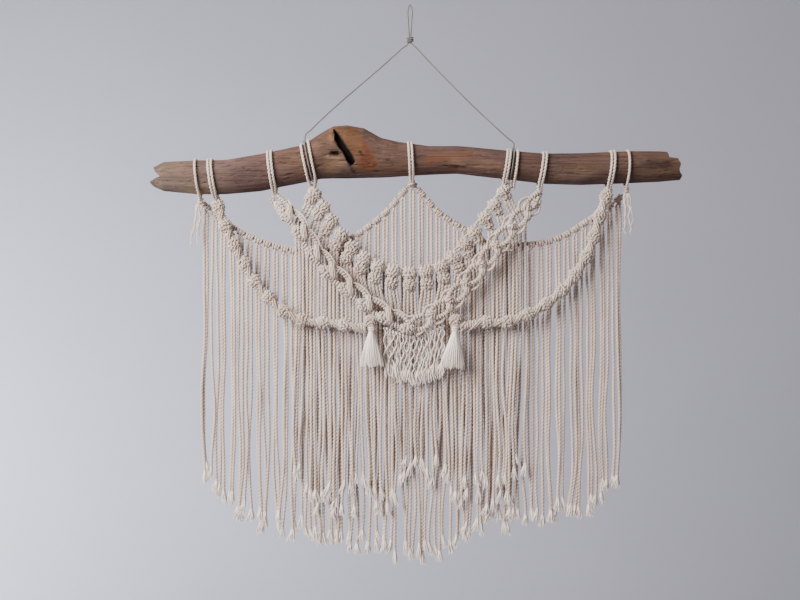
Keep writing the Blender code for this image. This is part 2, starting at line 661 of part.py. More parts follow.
def collar_strands(tabs):
    """The strands below the tabs, evenly spread from one edge to the other."""
    counts = [3 if i < END_TABS or i >= TABS - END_TABS else 4 for i in range(TABS)]
    uneven = random.Random(11)
    total = sum(counts)
    strands, placed = [], 0
    for (centre, down, length), count in zip(tabs, counts):
        across = Vector((-down.z, 0.0, down.x))
        end = centre + down * (length / 2 - TAB_BITE)
        for k in range(count):
            root = end + across * (k - (count - 1) / 2) * TAB_CORD_PITCH
            x = -COLLAR_EDGE + 2 * COLLAR_EDGE * placed / (total - 1)
            z_hem = lerp_table(COLLAR_HEM, x) + uneven.uniform(-HEM_UNEVEN, HEM_UNEVEN)
            strands.append(strand_route(root, x, COLLAR_STRAND_Y, z_hem,
                                        STRAND * COLLAR_STRAND_SHARE))
            placed += 1
    return strands


def build_collar():
    """The holding cord with its loops, the square-knot tabs on it and their strands."""
    tabs = collar_tabs()
    folds = [centre - down * (length / 2 - FOLD_DROP) for centre, down, length in tabs]
    left_root, right_root = loop_root(LEFT_COLLAR), loop_root(RIGHT_COLLAR_INNER)
    line = smooth_route([left_root] + folds + [right_root], HOLDING_CORD_STEP)
    right_knot = right_root + Vector((COLLAR_KNOT_SHIFT, 0.0, 0.0))
    pieces = [tube("holding_cord", [[(p, CORD / 2) for p in line]], 4),
              lump("left_knot", left_root, COLLAR_KNOT_LEFT, 6, 4),
              lump("right_knot", right_knot, COLLAR_KNOT_RIGHT, 6, 4),
              tube("left_loops", loop_cords(LEFT_COLLAR), LOOP_SIDES),
              tube("right_loops", loop_cords(RIGHT_COLLAR_INNER), LOOP_SIDES),
              tube("outer_loop", loop_cords(RIGHT_COLLAR_OUTER), LOOP_SIDES)]
    pieces += [tab_solid(*tab) for tab in tabs]
    pieces.append(tube("strands", collar_strands(tabs), 3))
    return fused("collar", pieces)


# ---- lattice garland -------------------------------------------------------------------------
def garland_line():
    """Evenly spaced points of the garland with the direction across it."""
    line = smooth_route(LATTICE, 0.0005)
    last = len(line) - 1
    steps = LATTICE_REPEATS * GARLAND_STEPS
    places = []
    for i in range(steps + 1):
        at = round(i / steps * last)
        ahead = (line[min(at + 6, last)] - line[max(at - 6, 0)]).normalized()
        places.append((line[at], Vector((ahead.z, 0.0, -ahead.x)).normalized()))
    return places


def build_lattice():
    """Two thick bars that wave apart and meet, edged with picots, on their loops."""
    places = garland_line()
    last = len(places) - 1
    pieces = []
    for side in (1, -1):
        wave, edge = [], []
        for i, (point, out) in enumerate(places):
            phase = i % GARLAND_STEPS
            rise, radius = WAVE_HEIGHT, WAVE_RADIUS
            if phase == 0:
                rise, radius = WAVE_DIP, WAVE_RADIUS * WAVE_SWELL
            wave.append((point + out * side * rise, radius))
            if 0 < i < last:
                rise = PICOT_HEIGHT if phase == 0 else PICOT_DIP
                edge.append((point + out * side * rise, PICOT_RADIUS))
        pieces += [tube("wave", [wave], 4), tube("picots", [edge], 4)]
    pieces += [tube("left_loops", loop_cords(LEFT_LATTICE), LOOP_SIDES),
               tube("right_loops", loop_cords(RIGHT_LATTICE), LOOP_SIDES)]
    return fused("lattice_garland", pieces)


# ---- spiral bars -----------------------------------------------------------------------------
def build_spiral(name, points, loop, hand):
    """A flat bar that turns along its line. Hand is 1 or -1, for the way it turns."""
    line = smooth_route(points, SPIRAL_STEP)
    rings = []
    for i, point in enumerate(line):
        ahead = (line[min(i + 1, len(line) - 1)] - line[max(i - 1, 0)]).normalized()
        side = ahead.cross(Vector((0.0, 1.0, 0.0))).normalized()
        front = side.cross(ahead)
        turn = hand * math.pi * SPIRAL_STEP * i / SPIRAL_HALF_TURN
        wide = side * math.cos(turn) + front * math.sin(turn)
        thin = front * math.cos(turn) - side * math.sin(turn)
        rings.append([point + wide * SPIRAL_WIDE * math.cos(a) + thin * SPIRAL_THIN * math.sin(a)
                      for a in (2 * math.pi * k / SPIRAL_SIDES for k in range(SPIRAL_SIDES))])
    return fused(name, [loft("bar", rings), tube("loops", loop_cords(loop), LOOP_SIDES)])


# ---- tassels and centre fringe ---------------------------------------------------------------
def build_tassel(name, tassel):
    """A wrapped head with locks that spread towards the hem."""
    head_size = (TASSEL_HEAD, TASSEL_HEAD * TASSEL_HEAD_DEPTH, TASSEL_HEAD * TASSEL_HEAD_HEIGHT)
    head = lump("head", Vector((tassel.x, TASSEL_Y, tassel.z_head)), head_size)
    neck = Vector((tassel.x, TASSEL_Y, tassel.z_head - TASSEL_HEAD * TASSEL_NECK_DROP))
    locks = []
    for i in range(TASSEL_LOCKS):
        angle = 2 * math.pi * (i + 0.5) / TASSEL_LOCKS
        out = Vector((math.cos(angle), math.sin(angle), 0.0))
        start = neck + out * TASSEL_NECK
        knee = neck + Vector((out.x * TASSEL_KNEE[0], out.y * TASSEL_KNEE[1], TASSEL_KNEE[2]))
        hem = Vector((tassel.x + out.x * TASSEL_HALF_WIDTH,
                      TASSEL_Y + out.y * TASSEL_HALF_DEPTH, tassel.z_hem))
        locks.append([(start, LOCK * LOCK_START), (knee, LOCK * LOCK_KNEE), (hem, LOCK)])
    return fused(name, [head, tube("locks", locks, 3)])


def build_centre_fringe():
    """The small bar at the centre with its thin crinkled strands."""
    line = flat_route(CENTRE_BAR, CENTRE_FRINGE_Y, CENTRE_BAR_STEP)
    uneven = random.Random(5)
    width = CENTRE_BAR[-1][0] - CENTRE_BAR[0][0]
    strands = []
    for i in range(CENTRE_STRANDS):
        x = CENTRE_BAR[0][0] + width * (i + 0.5) / CENTRE_STRANDS
        top = point_on(line, x)[2]
        hem = lerp_table(CENTRE_HEM, x) + uneven.uniform(*CENTRE_HEM_UNEVEN)
        route = []
        for k in range(CENTRE_BENDS + 1):
            bend = CENTRE_CRINKLE * (-1) ** (k + i // 2) if k else 0.0
            radius = CENTRE_STRAND * (CENTRE_TIP_SPREAD if k == CENTRE_BENDS else 1.0)
            z = top + (hem - top) * k / CENTRE_BENDS
            route.append((Vector((x + bend, CENTRE_FRINGE_Y, z)), radius))
        strands.append(route)
    bar = tube("bar", [ridged_route(line, CENTRE_BAR_RADIUS, 2 * CENTRE_BAR_STEP)], BAR_SIDES)
    return fused("centre_fringe", [bar, tube("strands", strands, 3)])


# ---- twine -----------------------------------------------------------------------------------
def tie_top(loop):
    """The knot on top of the branch where a leg of the twine is tied."""
    return branch_point(loop.x_top, math.pi / 2, TWINE / 2 + REST + TIE_KNOT_LIFT)


def build_tie(name, loop):
    """A ring of twine round the branch with its knot on top."""
    ring = []
    for i in range(TIE_TURN_STEPS):
        angle = 2 * math.pi * i / TIE_TURN_STEPS
        lean = (1 - math.sin(angle)) / 2
        x = loop.x_top + (loop.x_bottom - loop.x_top) * lean
        ring.append((branch_point(x, angle, TWINE / 2 + REST), TWINE / 2))
    knot = lump("knot", tie_top(loop),
                (TIE_KNOT * TIE_KNOT_WIDTH, TIE_KNOT, TIE_KNOT * TIE_KNOT_HEIGHT), 6, 4)
    return fused(name, [tube("ring", [ring], 5, cyclic=True), knot])


def twine_route():
    """From the left tie up through the hitch, over the nail and down to the right tie."""
    above = Vector((0.0, 0.0, TIE_KNOT * TIE_KNOT_HEIGHT + GAP))
    left_leg = [Vector((-TWINE_HALF, 0.0, HITCH_Z))]
    left_leg += [Vector((-TWINE_HALF * wide, 0.0, z)) for wide, z in NAIL_LOOP]
    right_leg = [Vector((-p.x, 0.0, p.z)) for p in reversed(left_leg)]
    points = [tie_top(TIE_LEFT) + above]
    points += [Vector((x, 0.0, z)) for x, z in TWINE_ROUTE_LEFT]
    points += left_leg + [Vector((0.0, 0.0, TWINE / 2))] + right_leg
    points += [Vector((x, 0.0, z)) for x, z in TWINE_ROUTE_RIGHT]
    points.append(tie_top(TIE_RIGHT) + above)
    return points


def build_twine():
    """The hanging twine in one piece."""
    route = smooth_route(twine_route(), TWINE_STEP)
    return tube("hanging_twine", [[(p, TWINE / 2) for p in route]], TWINE_SIDES)


def build_hitch():
    """The turn of twine that binds the two legs."""
    bpy.ops.mesh.primitive_torus_add(major_segments=14, minor_segments=5,
                                     major_radius=HITCH_RADIUS, minor_radius=HITCH_TURN_RADIUS)
    ring = bpy.context.active_object
    ring.name = "twine_hitch"
    ring.data.transform(Matrix.Translation((0.0, 0.0, HITCH_Z))
                        @ Matrix.Diagonal((*HITCH_STRETCH, 1.0)))
    return ring


def main():
    """Builds every piece and gives each its own material."""
    clear_scene()
    parts = make_collection("macrame_wall_hanging")
    cutters = make_collection("cutters")
    wood = make_material("driftwood", WOOD, 0.85)
    build_branch(parts, cutters, wood)
    pieces = (
        ("twine", STRING, 0.9, build_twine()),
        ("twine_knot", STRING, 0.9, build_hitch()),
        ("twine_left", STRING, 0.9, build_tie("twine_tie_left", TIE_LEFT)),
        ("twine_right", STRING, 0.9, build_tie("twine_tie_right", TIE_RIGHT)),
        ("back_cord_left", CREAM_SHADE, 0.95,
         side_fringe("fringe_left", LEFT_BAR, LEFT_OUTER, LEFT_STRANDS, LEFT_TAILS, 1)),
        ("back_cord_right", CREAM_SHADE, 0.95,
         side_fringe("fringe_right", RIGHT_BAR, RIGHT_OUTER, RIGHT_STRANDS, RIGHT_TAILS, 2)),
        ("back_cord_peak", CREAM_SHADE, 0.95, peak_fringe()),
        ("collar_cord", CREAM, 0.95, build_collar()),
        ("lattice_cord", CREAM, 0.95, build_lattice()),
        ("spiral_cord_left", CREAM, 0.95,
         build_spiral("spiral_left", SPIRAL_LEFT, LEFT_SPIRAL, 1)),
        ("spiral_cord_right", CREAM, 0.95,
         build_spiral("spiral_right", SPIRAL_RIGHT, RIGHT_SPIRAL, -1)),
        ("tassel_cotton_left", CREAM, 1.0, build_tassel("tassel_left", TASSEL_LEFT)),
        ("tassel_cotton_right", CREAM, 1.0, build_tassel("tassel_right", TASSEL_RIGHT)),
        ("centre_cotton", CREAM, 1.0, build_centre_fringe()),
    )
    for name, colour, roughness, item in pieces:
        finish(item, parts, make_material(name, colour, roughness))


main()
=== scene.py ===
"""A macrame wall hanging on a driftwood branch, dressed in cotton, twine and weathered wood.

Metres, +Z up, front towards -Y. The tables repeat the sizes of the part, and every dressed
piece takes the place of the plain solid that it is named after.
"""
import logging
from dataclasses import dataclass, field
from enum import Enum
from functools import cached_property
from math import atan2, cos, hypot, pi, radians, sin, sqrt
from random import Random
from typing import NamedTuple

import bmesh
import bpy
import numpy as np
from mathutils import Matrix, Vector, noise

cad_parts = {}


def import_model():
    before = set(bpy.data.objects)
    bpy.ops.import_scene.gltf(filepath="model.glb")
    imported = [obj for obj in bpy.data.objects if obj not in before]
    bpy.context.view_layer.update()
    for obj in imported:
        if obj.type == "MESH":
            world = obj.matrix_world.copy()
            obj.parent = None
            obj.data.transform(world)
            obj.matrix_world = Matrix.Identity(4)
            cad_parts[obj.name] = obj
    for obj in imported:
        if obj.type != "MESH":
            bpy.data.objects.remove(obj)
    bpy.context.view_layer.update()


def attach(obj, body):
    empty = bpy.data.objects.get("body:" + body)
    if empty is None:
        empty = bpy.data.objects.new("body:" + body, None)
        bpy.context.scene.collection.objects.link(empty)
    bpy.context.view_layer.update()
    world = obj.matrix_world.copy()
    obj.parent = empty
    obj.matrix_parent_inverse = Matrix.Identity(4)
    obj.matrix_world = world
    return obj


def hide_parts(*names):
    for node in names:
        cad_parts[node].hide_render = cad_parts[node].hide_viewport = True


log = logging.getLogger("wall_hanging")
Array = np.ndarray
Item = bpy.types.Object
Row = tuple[float, ...]
Size = float | Array  # one for all, or one a point

# ---- sizes shared with the part ----
CORD = 0.004  # thickness of the cotton cord
TWINE = 0.002  # thickness of the twine
GAP = 0.0003  # air between two knots of twine
REST = 0.0004  # air between a loop and the wood
TUFT_LENGTH = 0.011  # length of a frayed end
PITCH = 0.0053  # distance between two lark's heads
ROOT_DROP = 0.0075  # from the branch down to a gathering knot
HEM_UNEVEN = 0.007  # how far below its hem a back strand may end
BACK_RAGGED = 0.014  # and how far above it
COLLAR_UNEVEN = 0.014  # the same below the collar's hem
COLLAR_RAGGED = 0.026  # and above it
BACK_Y = 0.009  # depths of the layers, from the back to the front
COLLAR_STRAND_Y = 0.003
COLLAR_Y = -0.003
SPIRAL_SIDE_Y = -0.004
SPIRAL_FRONT_Y = -0.0085
CENTRE_FRINGE_Y = -0.0088
LATTICE_Y = -0.0128
TASSEL_Y = -0.013

# Branch sections: x, top, bottom, half depth
BRANCH = (
    (-0.318, -0.199, -0.213, 0.011), (-0.3054, -0.194, -0.219, 0.0145),
    (-0.295, -0.1885, -0.2235, 0.017), (-0.2556, -0.1867, -0.2272, 0.0185),
    (-0.2208, -0.186, -0.227, 0.019), (-0.1794, -0.1788, -0.2236, 0.02),
    (-0.15, -0.1728, -0.2174, 0.02), (-0.1277, -0.168, -0.2132, 0.0205),
    (-0.1068, -0.1543, -0.2085, 0.0225), (-0.0924, -0.1462, -0.2081, 0.024),
    (-0.0761, -0.1446, -0.2081, 0.025), (-0.0552, -0.1481, -0.2076, 0.0245),
    (-0.0348, -0.1596, -0.207, 0.022), (-0.0144, -0.1644, -0.2059, 0.0195),
    (0.0224, -0.1692, -0.2038, 0.0175), (0.0564, -0.1692, -0.2024, 0.017),
    (0.1028, -0.1736, -0.2076, 0.0172), (0.1602, -0.1783, -0.2146, 0.018),
    (0.2064, -0.1778, -0.216, 0.0185), (0.2635, -0.1756, -0.2138, 0.018),
    (0.299, -0.1756, -0.2122, 0.0172), (0.33, -0.1775, -0.2095, 0.016),
)
LEFT_END = ((-0.345, -0.17), (-0.311, -0.186), (-0.3054, -0.1987), (-0.2971, -0.207),
            (-0.3112, -0.2132), (-0.3036, -0.2214), (-0.31, -0.24), (-0.345, -0.24))
RIGHT_END = ((0.304, -0.16), (0.3084, -0.1841), (0.3186, -0.1852), (0.3214, -0.192),
             (0.3197, -0.2), (0.3244, -0.2058), (0.3186, -0.225), (0.35, -0.225),
             (0.35, -0.16))
BURL_SLIT = ((-0.0908, -0.1495), (-0.084, -0.1575), (-0.079, -0.1655), (-0.0735, -0.1745),
             (-0.068, -0.182), (-0.0645, -0.1905), (-0.0672, -0.1938), (-0.0705, -0.1948),
             (-0.0752, -0.189), (-0.079, -0.18), (-0.0845, -0.1735), (-0.0895, -0.164))
SLIT_DEPTH = 0.012
KNOT_HOLE = (-0.0885, -0.1808)
KNOT_HOLE_SIZE = (0.0066, 0.0032)
KNOT_HOLE_DEPTH = 0.004
BURL = (-0.1, -0.06)  # the slit and the hole lie between these x

# Carrying cords and hems of the strands: x, z
LEFT_BAR = ((-0.2515, -0.2355), (-0.2136, -0.2672), (-0.1796, -0.284), (-0.1442, -0.2942),
            (-0.1185, -0.2962), (-0.103, -0.2958))
PEAK_BAR_LEFT = ((0.0, -0.2145), (-0.007, -0.2228), (-0.03, -0.2494), (-0.0565, -0.2705),
                 (-0.0975, -0.295))
PEAK_BAR_RIGHT = ((0.004, -0.2145), (0.0146, -0.2264), (0.0358, -0.2494), (0.0569, -0.2632),
                  (0.0972, -0.2892))
RIGHT_BAR = ((0.2592, -0.224), (0.2108, -0.2612), (0.1841, -0.2772), (0.1562, -0.2858),
             (0.138, -0.288), (0.0996, -0.29))
BACK_HEM = ((-0.244, -0.57), (-0.222, -0.603), (-0.185, -0.628), (-0.102, -0.648),
            (-0.0228, -0.664), (0.0012, -0.672), (0.054, -0.66), (0.08, -0.64),
            (0.1272, -0.628), (0.192, -0.62), (0.2304, -0.6), (0.264, -0.564))
COLLAR_HEM = ((-0.138, -0.572), (-0.1176, -0.606), (-0.0336, -0.602), (0.0084, -0.566),
              (0.0528, -0.594), (0.1176, -0.604), (0.1386, -0.56))

COLLAR = ((-0.116, -0.229), (-0.0985, -0.261), (-0.0727, -0.296), (-0.0407, -0.3195),
          (0.0023, -0.328), (0.043, -0.318), (0.07, -0.29), (0.0964, -0.255),
          (0.114, -0.227))
TABS = 17
TAB_LENGTH = 0.031
TAB_LEAN = 0.55  # how far a tab turns with the collar, 1 all the way
TAB_SHORT = 0.72  # length of the end tabs, as a share of the others'
END_TABS = 4  # tabs at each end that carry a strand less
COLLAR_EDGE = 0.138  # x of the collar's last strand
TAB_CORD_PITCH = 0.0041  # distance between two strands of a tab

# Garland and spiral bars: x, y, z
LATTICE = ((-0.1622, 0.0, -0.23), (-0.1526, -0.006, -0.242),
           (-0.1358, LATTICE_Y, -0.2624), (-0.1105, LATTICE_Y, -0.301),
           (-0.0752, LATTICE_Y, -0.3379), (-0.0348, LATTICE_Y, -0.3683),
           (0.004, LATTICE_Y, -0.3838), (0.031, LATTICE_Y, -0.369),
           (0.06, LATTICE_Y, -0.342), (0.086, LATTICE_Y, -0.311),
           (0.108, LATTICE_Y, -0.282), (0.133, LATTICE_Y, -0.253),
           (0.148, -0.006, -0.235), (0.1554, 0.0, -0.225))
LATTICE_REPEATS = 16
SPIRAL_LEFT = ((-0.2332, 0.0, -0.232), (-0.225, -0.002, -0.256),
               (-0.2082, SPIRAL_SIDE_Y, -0.2926), (-0.1796, SPIRAL_SIDE_Y, -0.3396),
               (-0.1442, SPIRAL_FRONT_Y, -0.3716), (-0.1207, SPIRAL_FRONT_Y, -0.38),
               (-0.0937, SPIRAL_FRONT_Y, -0.3816), (-0.0515, TASSEL_Y, -0.3885))
SPIRAL_RIGHT = ((0.2381, 0.0, -0.221), (0.229, -0.002, -0.248),
                (0.2136, SPIRAL_SIDE_Y, -0.2964), (0.1808, SPIRAL_SIDE_Y, -0.344),
                (0.1404, SPIRAL_FRONT_Y, -0.3716), (0.1128, SPIRAL_FRONT_Y, -0.3809),
                (0.0872, SPIRAL_FRONT_Y, -0.3809), (0.059, TASSEL_Y, -0.388))

TASSEL_HEAD = 0.0052
TASSEL_HALF_WIDTH = 0.0148
TASSEL_HALF_DEPTH = 0.0075
CENTRE_BAR = ((-0.0312, -0.387), (-0.014, -0.3945), (0.0036, -0.3978), (0.021, -0.394),
              (0.0408, -0.384))
CENTRE_STRANDS = 24
CENTRE_HEM = ((-0.0312, -0.443), (0.004, -0.452), (0.0408, -0.441))

HITCH_Z = -0.042  # where the two legs of the twine are bound
TWINE_HALF = 0.0012  # half the distance between them there
TWINE_ROUTE_LEFT = ((-0.1258, -0.157), (-0.118, -0.149), (-0.0235, -0.0648),
                    (-0.01, -0.0525), (-0.0016, -0.045))
TWINE_ROUTE_RIGHT = ((0.0016, -0.045), (0.0075, -0.0515), (0.0192, -0.064),
                     (0.118, -0.1605), (0.1247, -0.1664))
TIE_KNOT = 0.0024

# ---- sizes of the dressing ----
ROPE = 0.00216  # radius over the crests of a hanging strand
KNOT_ROPE = 0.00165  # the same cord pulled tight in a knot
LAY = 0.0122  # length of one turn of the plies,
TIGHT_LAY = 0.0085  # in a tight knot
TWINE_LAY = 0.0075  # and in the twine
STEP = 0.0015  # distance between two rings of a rope
GROOVE = 0.7  # radius between two plies, as a share of the crest's
CARRIER = 0.0016  # radius of a fringe's carrying cord
SHADED_CORE_TONE = 0.3  # tone of the filling inside a wound bar or a lump, dark: painted shade between the windings
RIGHTWARD = (1.0, 0.0, 0.0)
BACKWARD = (0.0, 1.0, 0.0)
FORWARD = (0.0, -1.0, 0.0)
ASLANT = (0.2, 1.0, 0.1)  # a cross direction that no winding runs along


# ---- helpers ----
def vec(x: float, y: float, z: float) -> Array:
    """A point or a step."""
    return np.array((x, y, z))


def waver(x: float, y: float, z: float) -> float:
    """A smooth unevenness between -1 and 1 that is the same at each run."""
    return noise.noise(Vector((x, y, z)))


def ease_all(low: float, high: float, values: Array) -> Array:
    """A smooth step from 0 at low to 1 at high, for many values."""
    t = np.clip((values - low) / (high - low), 0.0, 1.0)
    return t * t * (3 - 2 * t)


def ease(low: float, high: float, value: float) -> float:
    """The same smooth step for one value."""
    t = min(1.0, max(0.0, (value - low) / (high - low)))
    return t * t * (3 - 2 * t)


def table_at(table: tuple, x: float) -> float:
    """The value of a table of (x, value) rows at x."""
    return float(np.interp(x, [row[0] for row in table], [row[1] for row in table]))


def shown(item: Item) -> Item:
    """Places an object in the scene and returns it."""
    bpy.context.scene.collection.objects.link(item)
    return item


def in_scene(name: str, points: list, faces: list) -> Item:
    """Makes an object of plain points and faces.

    Args:
        name: the object's name.
        points: its points.
        faces: its faces, as rows of point numbers.

    Returns:
        The object, placed in the scene.
    """
    mesh = bpy.data.meshes.new(name)
    mesh.from_pydata(points, [], faces)
    return shown(bpy.data.objects.new(name, mesh))


def tube_faces(rows: int, count: int) -> list[tuple[int, ...]]:
    """Skins a row of closed rings and caps both ends.

    Args:
        rows: number of rings.
        count: points in a ring.

    Returns:
        The faces, as rows of point numbers.
    """
    faces = [(r * count + i, r * count + (i + 1) % count, (r + 1) * count + (i + 1) % count,
              (r + 1) * count + i) for r in range(rows - 1) for i in range(count)]
    last = (rows - 1) * count
    return faces + [tuple(range(count))[::-1], tuple(range(last, last + count))]


# ---- lines ----
def unit(vectors: Array) -> Array:
    """The vectors at unit length."""
    return vectors / np.maximum(np.linalg.norm(vectors, axis=-1, keepdims=True), 1e-12)


def lengths(line: Array) -> Array:
    """The length travelled at each point of a line."""
    return np.concatenate(([0.0], np.cumsum(np.linalg.norm(np.diff(line, axis=0), axis=1))))


def spaced(line: Array, step: float) -> Array:
    """The points of a line, spread evenly at about the given step.

    Args:
        line: the line's points.
        step: wanted distance between two points.

    Returns:
        The new points.
    """
    travelled = lengths(line)
    want = np.linspace(0.0, travelled[-1], max(2, round(travelled[-1] / step) + 1))
    return np.stack([np.interp(want, travelled, line[:, k]) for k in range(3)], axis=1)


def smooth_line(knots: list, step: float) -> Array:
    """Draws a smooth curve through the given points.

    Args:
        knots: the points that the curve passes.
        step: wanted distance between two points of the curve.

    Returns:
        Evenly spaced points of the curve.
    """
    p = np.array([tuple(k) for k in knots], float)
    span = np.linalg.norm(np.diff(p, axis=0), axis=1)
    slope = np.empty_like(p)
    slope[0], slope[-1] = (p[1] - p[0]) / span[0], (p[-1] - p[-2]) / span[-1]
    before, after = span[:-1, None], span[1:, None]
    slope[1:-1] = ((p[1:-1] - p[:-2]) * after / before
                   + (p[2:] - p[1:-1]) * before / after) / (before + after)
    t = np.linspace(0.0, 1.0, 24, endpoint=False)[None, :, None]
    start, end = p[:-1, None], p[1:, None]
    leave, arrive = (slope[:-1] * span[:, None])[:, None], (slope[1:] * span[:, None])[:, None]
    fine = (start * (1 - 3 * t ** 2 + 2 * t ** 3) + end * (3 * t ** 2 - 2 * t ** 3)
            + leave * (t - 2 * t ** 2 + t ** 3) + arrive * (t ** 3 - t ** 2))
    return spaced(np.concatenate((fine.reshape(-1, 3), p[-1:])), step)


def flat_line(table: tuple, y: float, step: float) -> Array:
    """A smooth curve through a table of (x, z) rows at one depth."""
    return smooth_line([(x, y, z) for x, z in table], step)


def frames(line: Array, hint: Row) -> tuple[Array, Array]:
    """Carries two cross directions along a line without twist.

    Args:
        line: the line's points.
        hint: a direction that the first cross direction starts close to.

    Returns:
        Two arrays of unit directions, square to the line and to each other.
    """
    ahead = unit(np.gradient(line, axis=0))
    side = np.empty_like(line)
    held = np.array(hint, float)
    for i, forward in enumerate(ahead):
        held = held - forward * float(held @ forward)
        held = held / max(sqrt(float(held @ held)), 1e-9)
        side[i] = held
    return side, np.cross(ahead, side)


def wound(line: Array, pitch: float, wide: Size, thin: Size, *, phase: float = 0.0,
          half_turn: float = 0.0, hint: Row = FORWARD, steps: int = 12) -> Array:
    """Winds a line round another one.

    Args:
        line: the axis of the winding.
        pitch: distance along the axis of one turn; a negative one winds the other way.
        wide: the winding's larger radius, one for all or evenly spread along the line.
        thin: its smaller radius, likewise.
        phase: the angle at which the winding starts.
        half_turn: distance in which the flat section itself turns half round, or 0.
        hint: where the section's first direction points at the start.
        steps: points in one turn.

    Returns:
        The wound line's points.
    """
    axis = spaced(line, abs(pitch) / steps)
    side, up = frames(axis, hint)
    travelled = lengths(axis)
    angle = phase + 2 * pi * travelled / pitch
    twist = pi * travelled / half_turn if half_turn else np.zeros(len(axis))
    share = travelled / travelled[-1]
    reach = [np.interp(share, np.linspace(0.0, 1.0, np.size(radius)), np.atleast_1d(radius))
             for radius in (wide, thin)]
    a, b = reach[0] * np.cos(angle), reach[1] * np.sin(angle)
    across = a * np.cos(twist) - b * np.sin(twist)
    deep = a * np.sin(twist) + b * np.cos(twist)
    return axis + across[:, None] * side + deep[:, None] * up


# ---- finishes ----
Socket = bpy.types.NodeSocket
Stops = tuple[tuple[float, Row], ...]
CLEAR = (1.0, 1.0, 1.0)  # changes no colour that it multiplies
ROUND = (1.0, 1.0, 1.0)  # a noise that is stretched no way


class Pattern(Enum):
    """How a finish spreads its colour: where on the noise the deep colour starts."""

    PLAIN = 0.05
    MOTTLED = 0.3


def fill(node: bpy.types.Node, values: dict[str, float | Row]) -> None:
    """Sets values of a node's inputs."""
    for key, value in values.items():
        node.inputs[key].default_value = value


class NodeSheet:
    """A new node material with short ways to add and join its nodes."""

    def __init__(self, name: str) -> None:
        """Makes an empty material around one principled shader.

        Args:
            name: the material's name.
        """
        self.material = bpy.data.materials.new(name)
        self.material.use_nodes = True
        self.tree = self.material.node_tree
        self.shader = self.tree.nodes["Principled BSDF"]
        self.place = self.add("ShaderNodeTexCoord").outputs["Object"]

    def add(self, kind: str, **settings: object) -> bpy.types.Node:
        """Adds a node.

        Args:
            kind: the node's type.
            settings: properties of the node to set.

        Returns:
            The node.
        """
        node = self.tree.nodes.new(kind)
        for key, value in settings.items():
            setattr(node, key, value)
        return node

    def join(self, start: Socket, end: Socket) -> None:
        """Links two sockets."""
        self.tree.links.new(start, end)

    def noise(self, scale: float, detail: float, stretch: Row = ROUND,
              rough: float = 0.55) -> Socket:
        """Adds a noise in real size.

        Args:
            scale: repeats in a metre.
            detail: finer layers of the noise.
            stretch: share of the scale along x, y and z.
            rough: strength of the finer layers.

        Returns:
            The noise's value socket.
        """
        mapping = self.add("ShaderNodeMapping")
        fill(mapping, {"Scale": stretch})
        self.join(self.place, mapping.inputs["Vector"])
        texture = self.add("ShaderNodeTexNoise")
        fill(texture, {"Scale": scale, "Detail": detail, "Roughness": rough})
        self.join(mapping.outputs["Vector"], texture.inputs["Vector"])
        return texture.outputs["Fac"]

    def ramp(self, value: Socket, stops: Stops) -> Socket:
        """Turns a value into a colour.

        Args:
            value: the value's socket.
            stops: rows of position and colour.

        Returns:
            The colour's socket.
        """
        node = self.add("ShaderNodeValToRGB")
        elements = node.color_ramp.elements
        while len(elements) < len(stops):
            elements.new(0.5)
        for element, (at, colour) in zip(elements, stops):
            element.position = at
            element.color = (*colour, 1.0)
        self.join(value, node.inputs["Fac"])
        return node.outputs["Color"]

    def multiply(self, first: Socket, second: Socket) -> Socket:
        """Multiplies two colours.

        Args:
            first: the first colour's socket.
            second: the second colour's socket.

        Returns:
            The result's socket.
        """
        node = self.add("ShaderNodeMix", data_type="RGBA", blend_type="MULTIPLY")
        fill(node, {"Factor": 1.0})
        self.join(first, node.inputs[6])
        self.join(second, node.inputs[7])
        return node.outputs[2]

    def bump(self, height: Socket, distance: float, strength: float,
             under: Socket | None = None) -> Socket:
        """Adds relief.

        Args:
            height: the height's socket.
            distance: how far the relief stands out.
            strength: how strongly it shows.
            under: a relief that this one lies on.

        Returns:
            The socket of the new normal.
        """
        node = self.add("ShaderNodeBump")
        fill(node, {"Distance": distance, "Strength": strength})
        self.join(height, node.inputs["Height"])
        if under is not None:
            self.join(under, node.inputs["Normal"])
        return node.outputs["Normal"]

    def finished(self, colour: Socket, normal: Socket,
                 roughness: float, sheen: float) -> bpy.types.Material:
        """Joins colour and relief to the shader.

        Args:
            colour: the base colour's socket.
            normal: the relief's socket.
            roughness: the surface's roughness.
            sheen: strength of the soft light on its fibres.

        Returns:
            The material.
        """
        self.join(colour, self.shader.inputs["Base Color"])
        self.join(normal, self.shader.inputs["Normal"])
        fill(self.shader, {"Roughness": roughness, "Sheen Weight": sheen,
                           "Sheen Roughness": 0.6, "Specular IOR Level": 0.2})
        return self.material


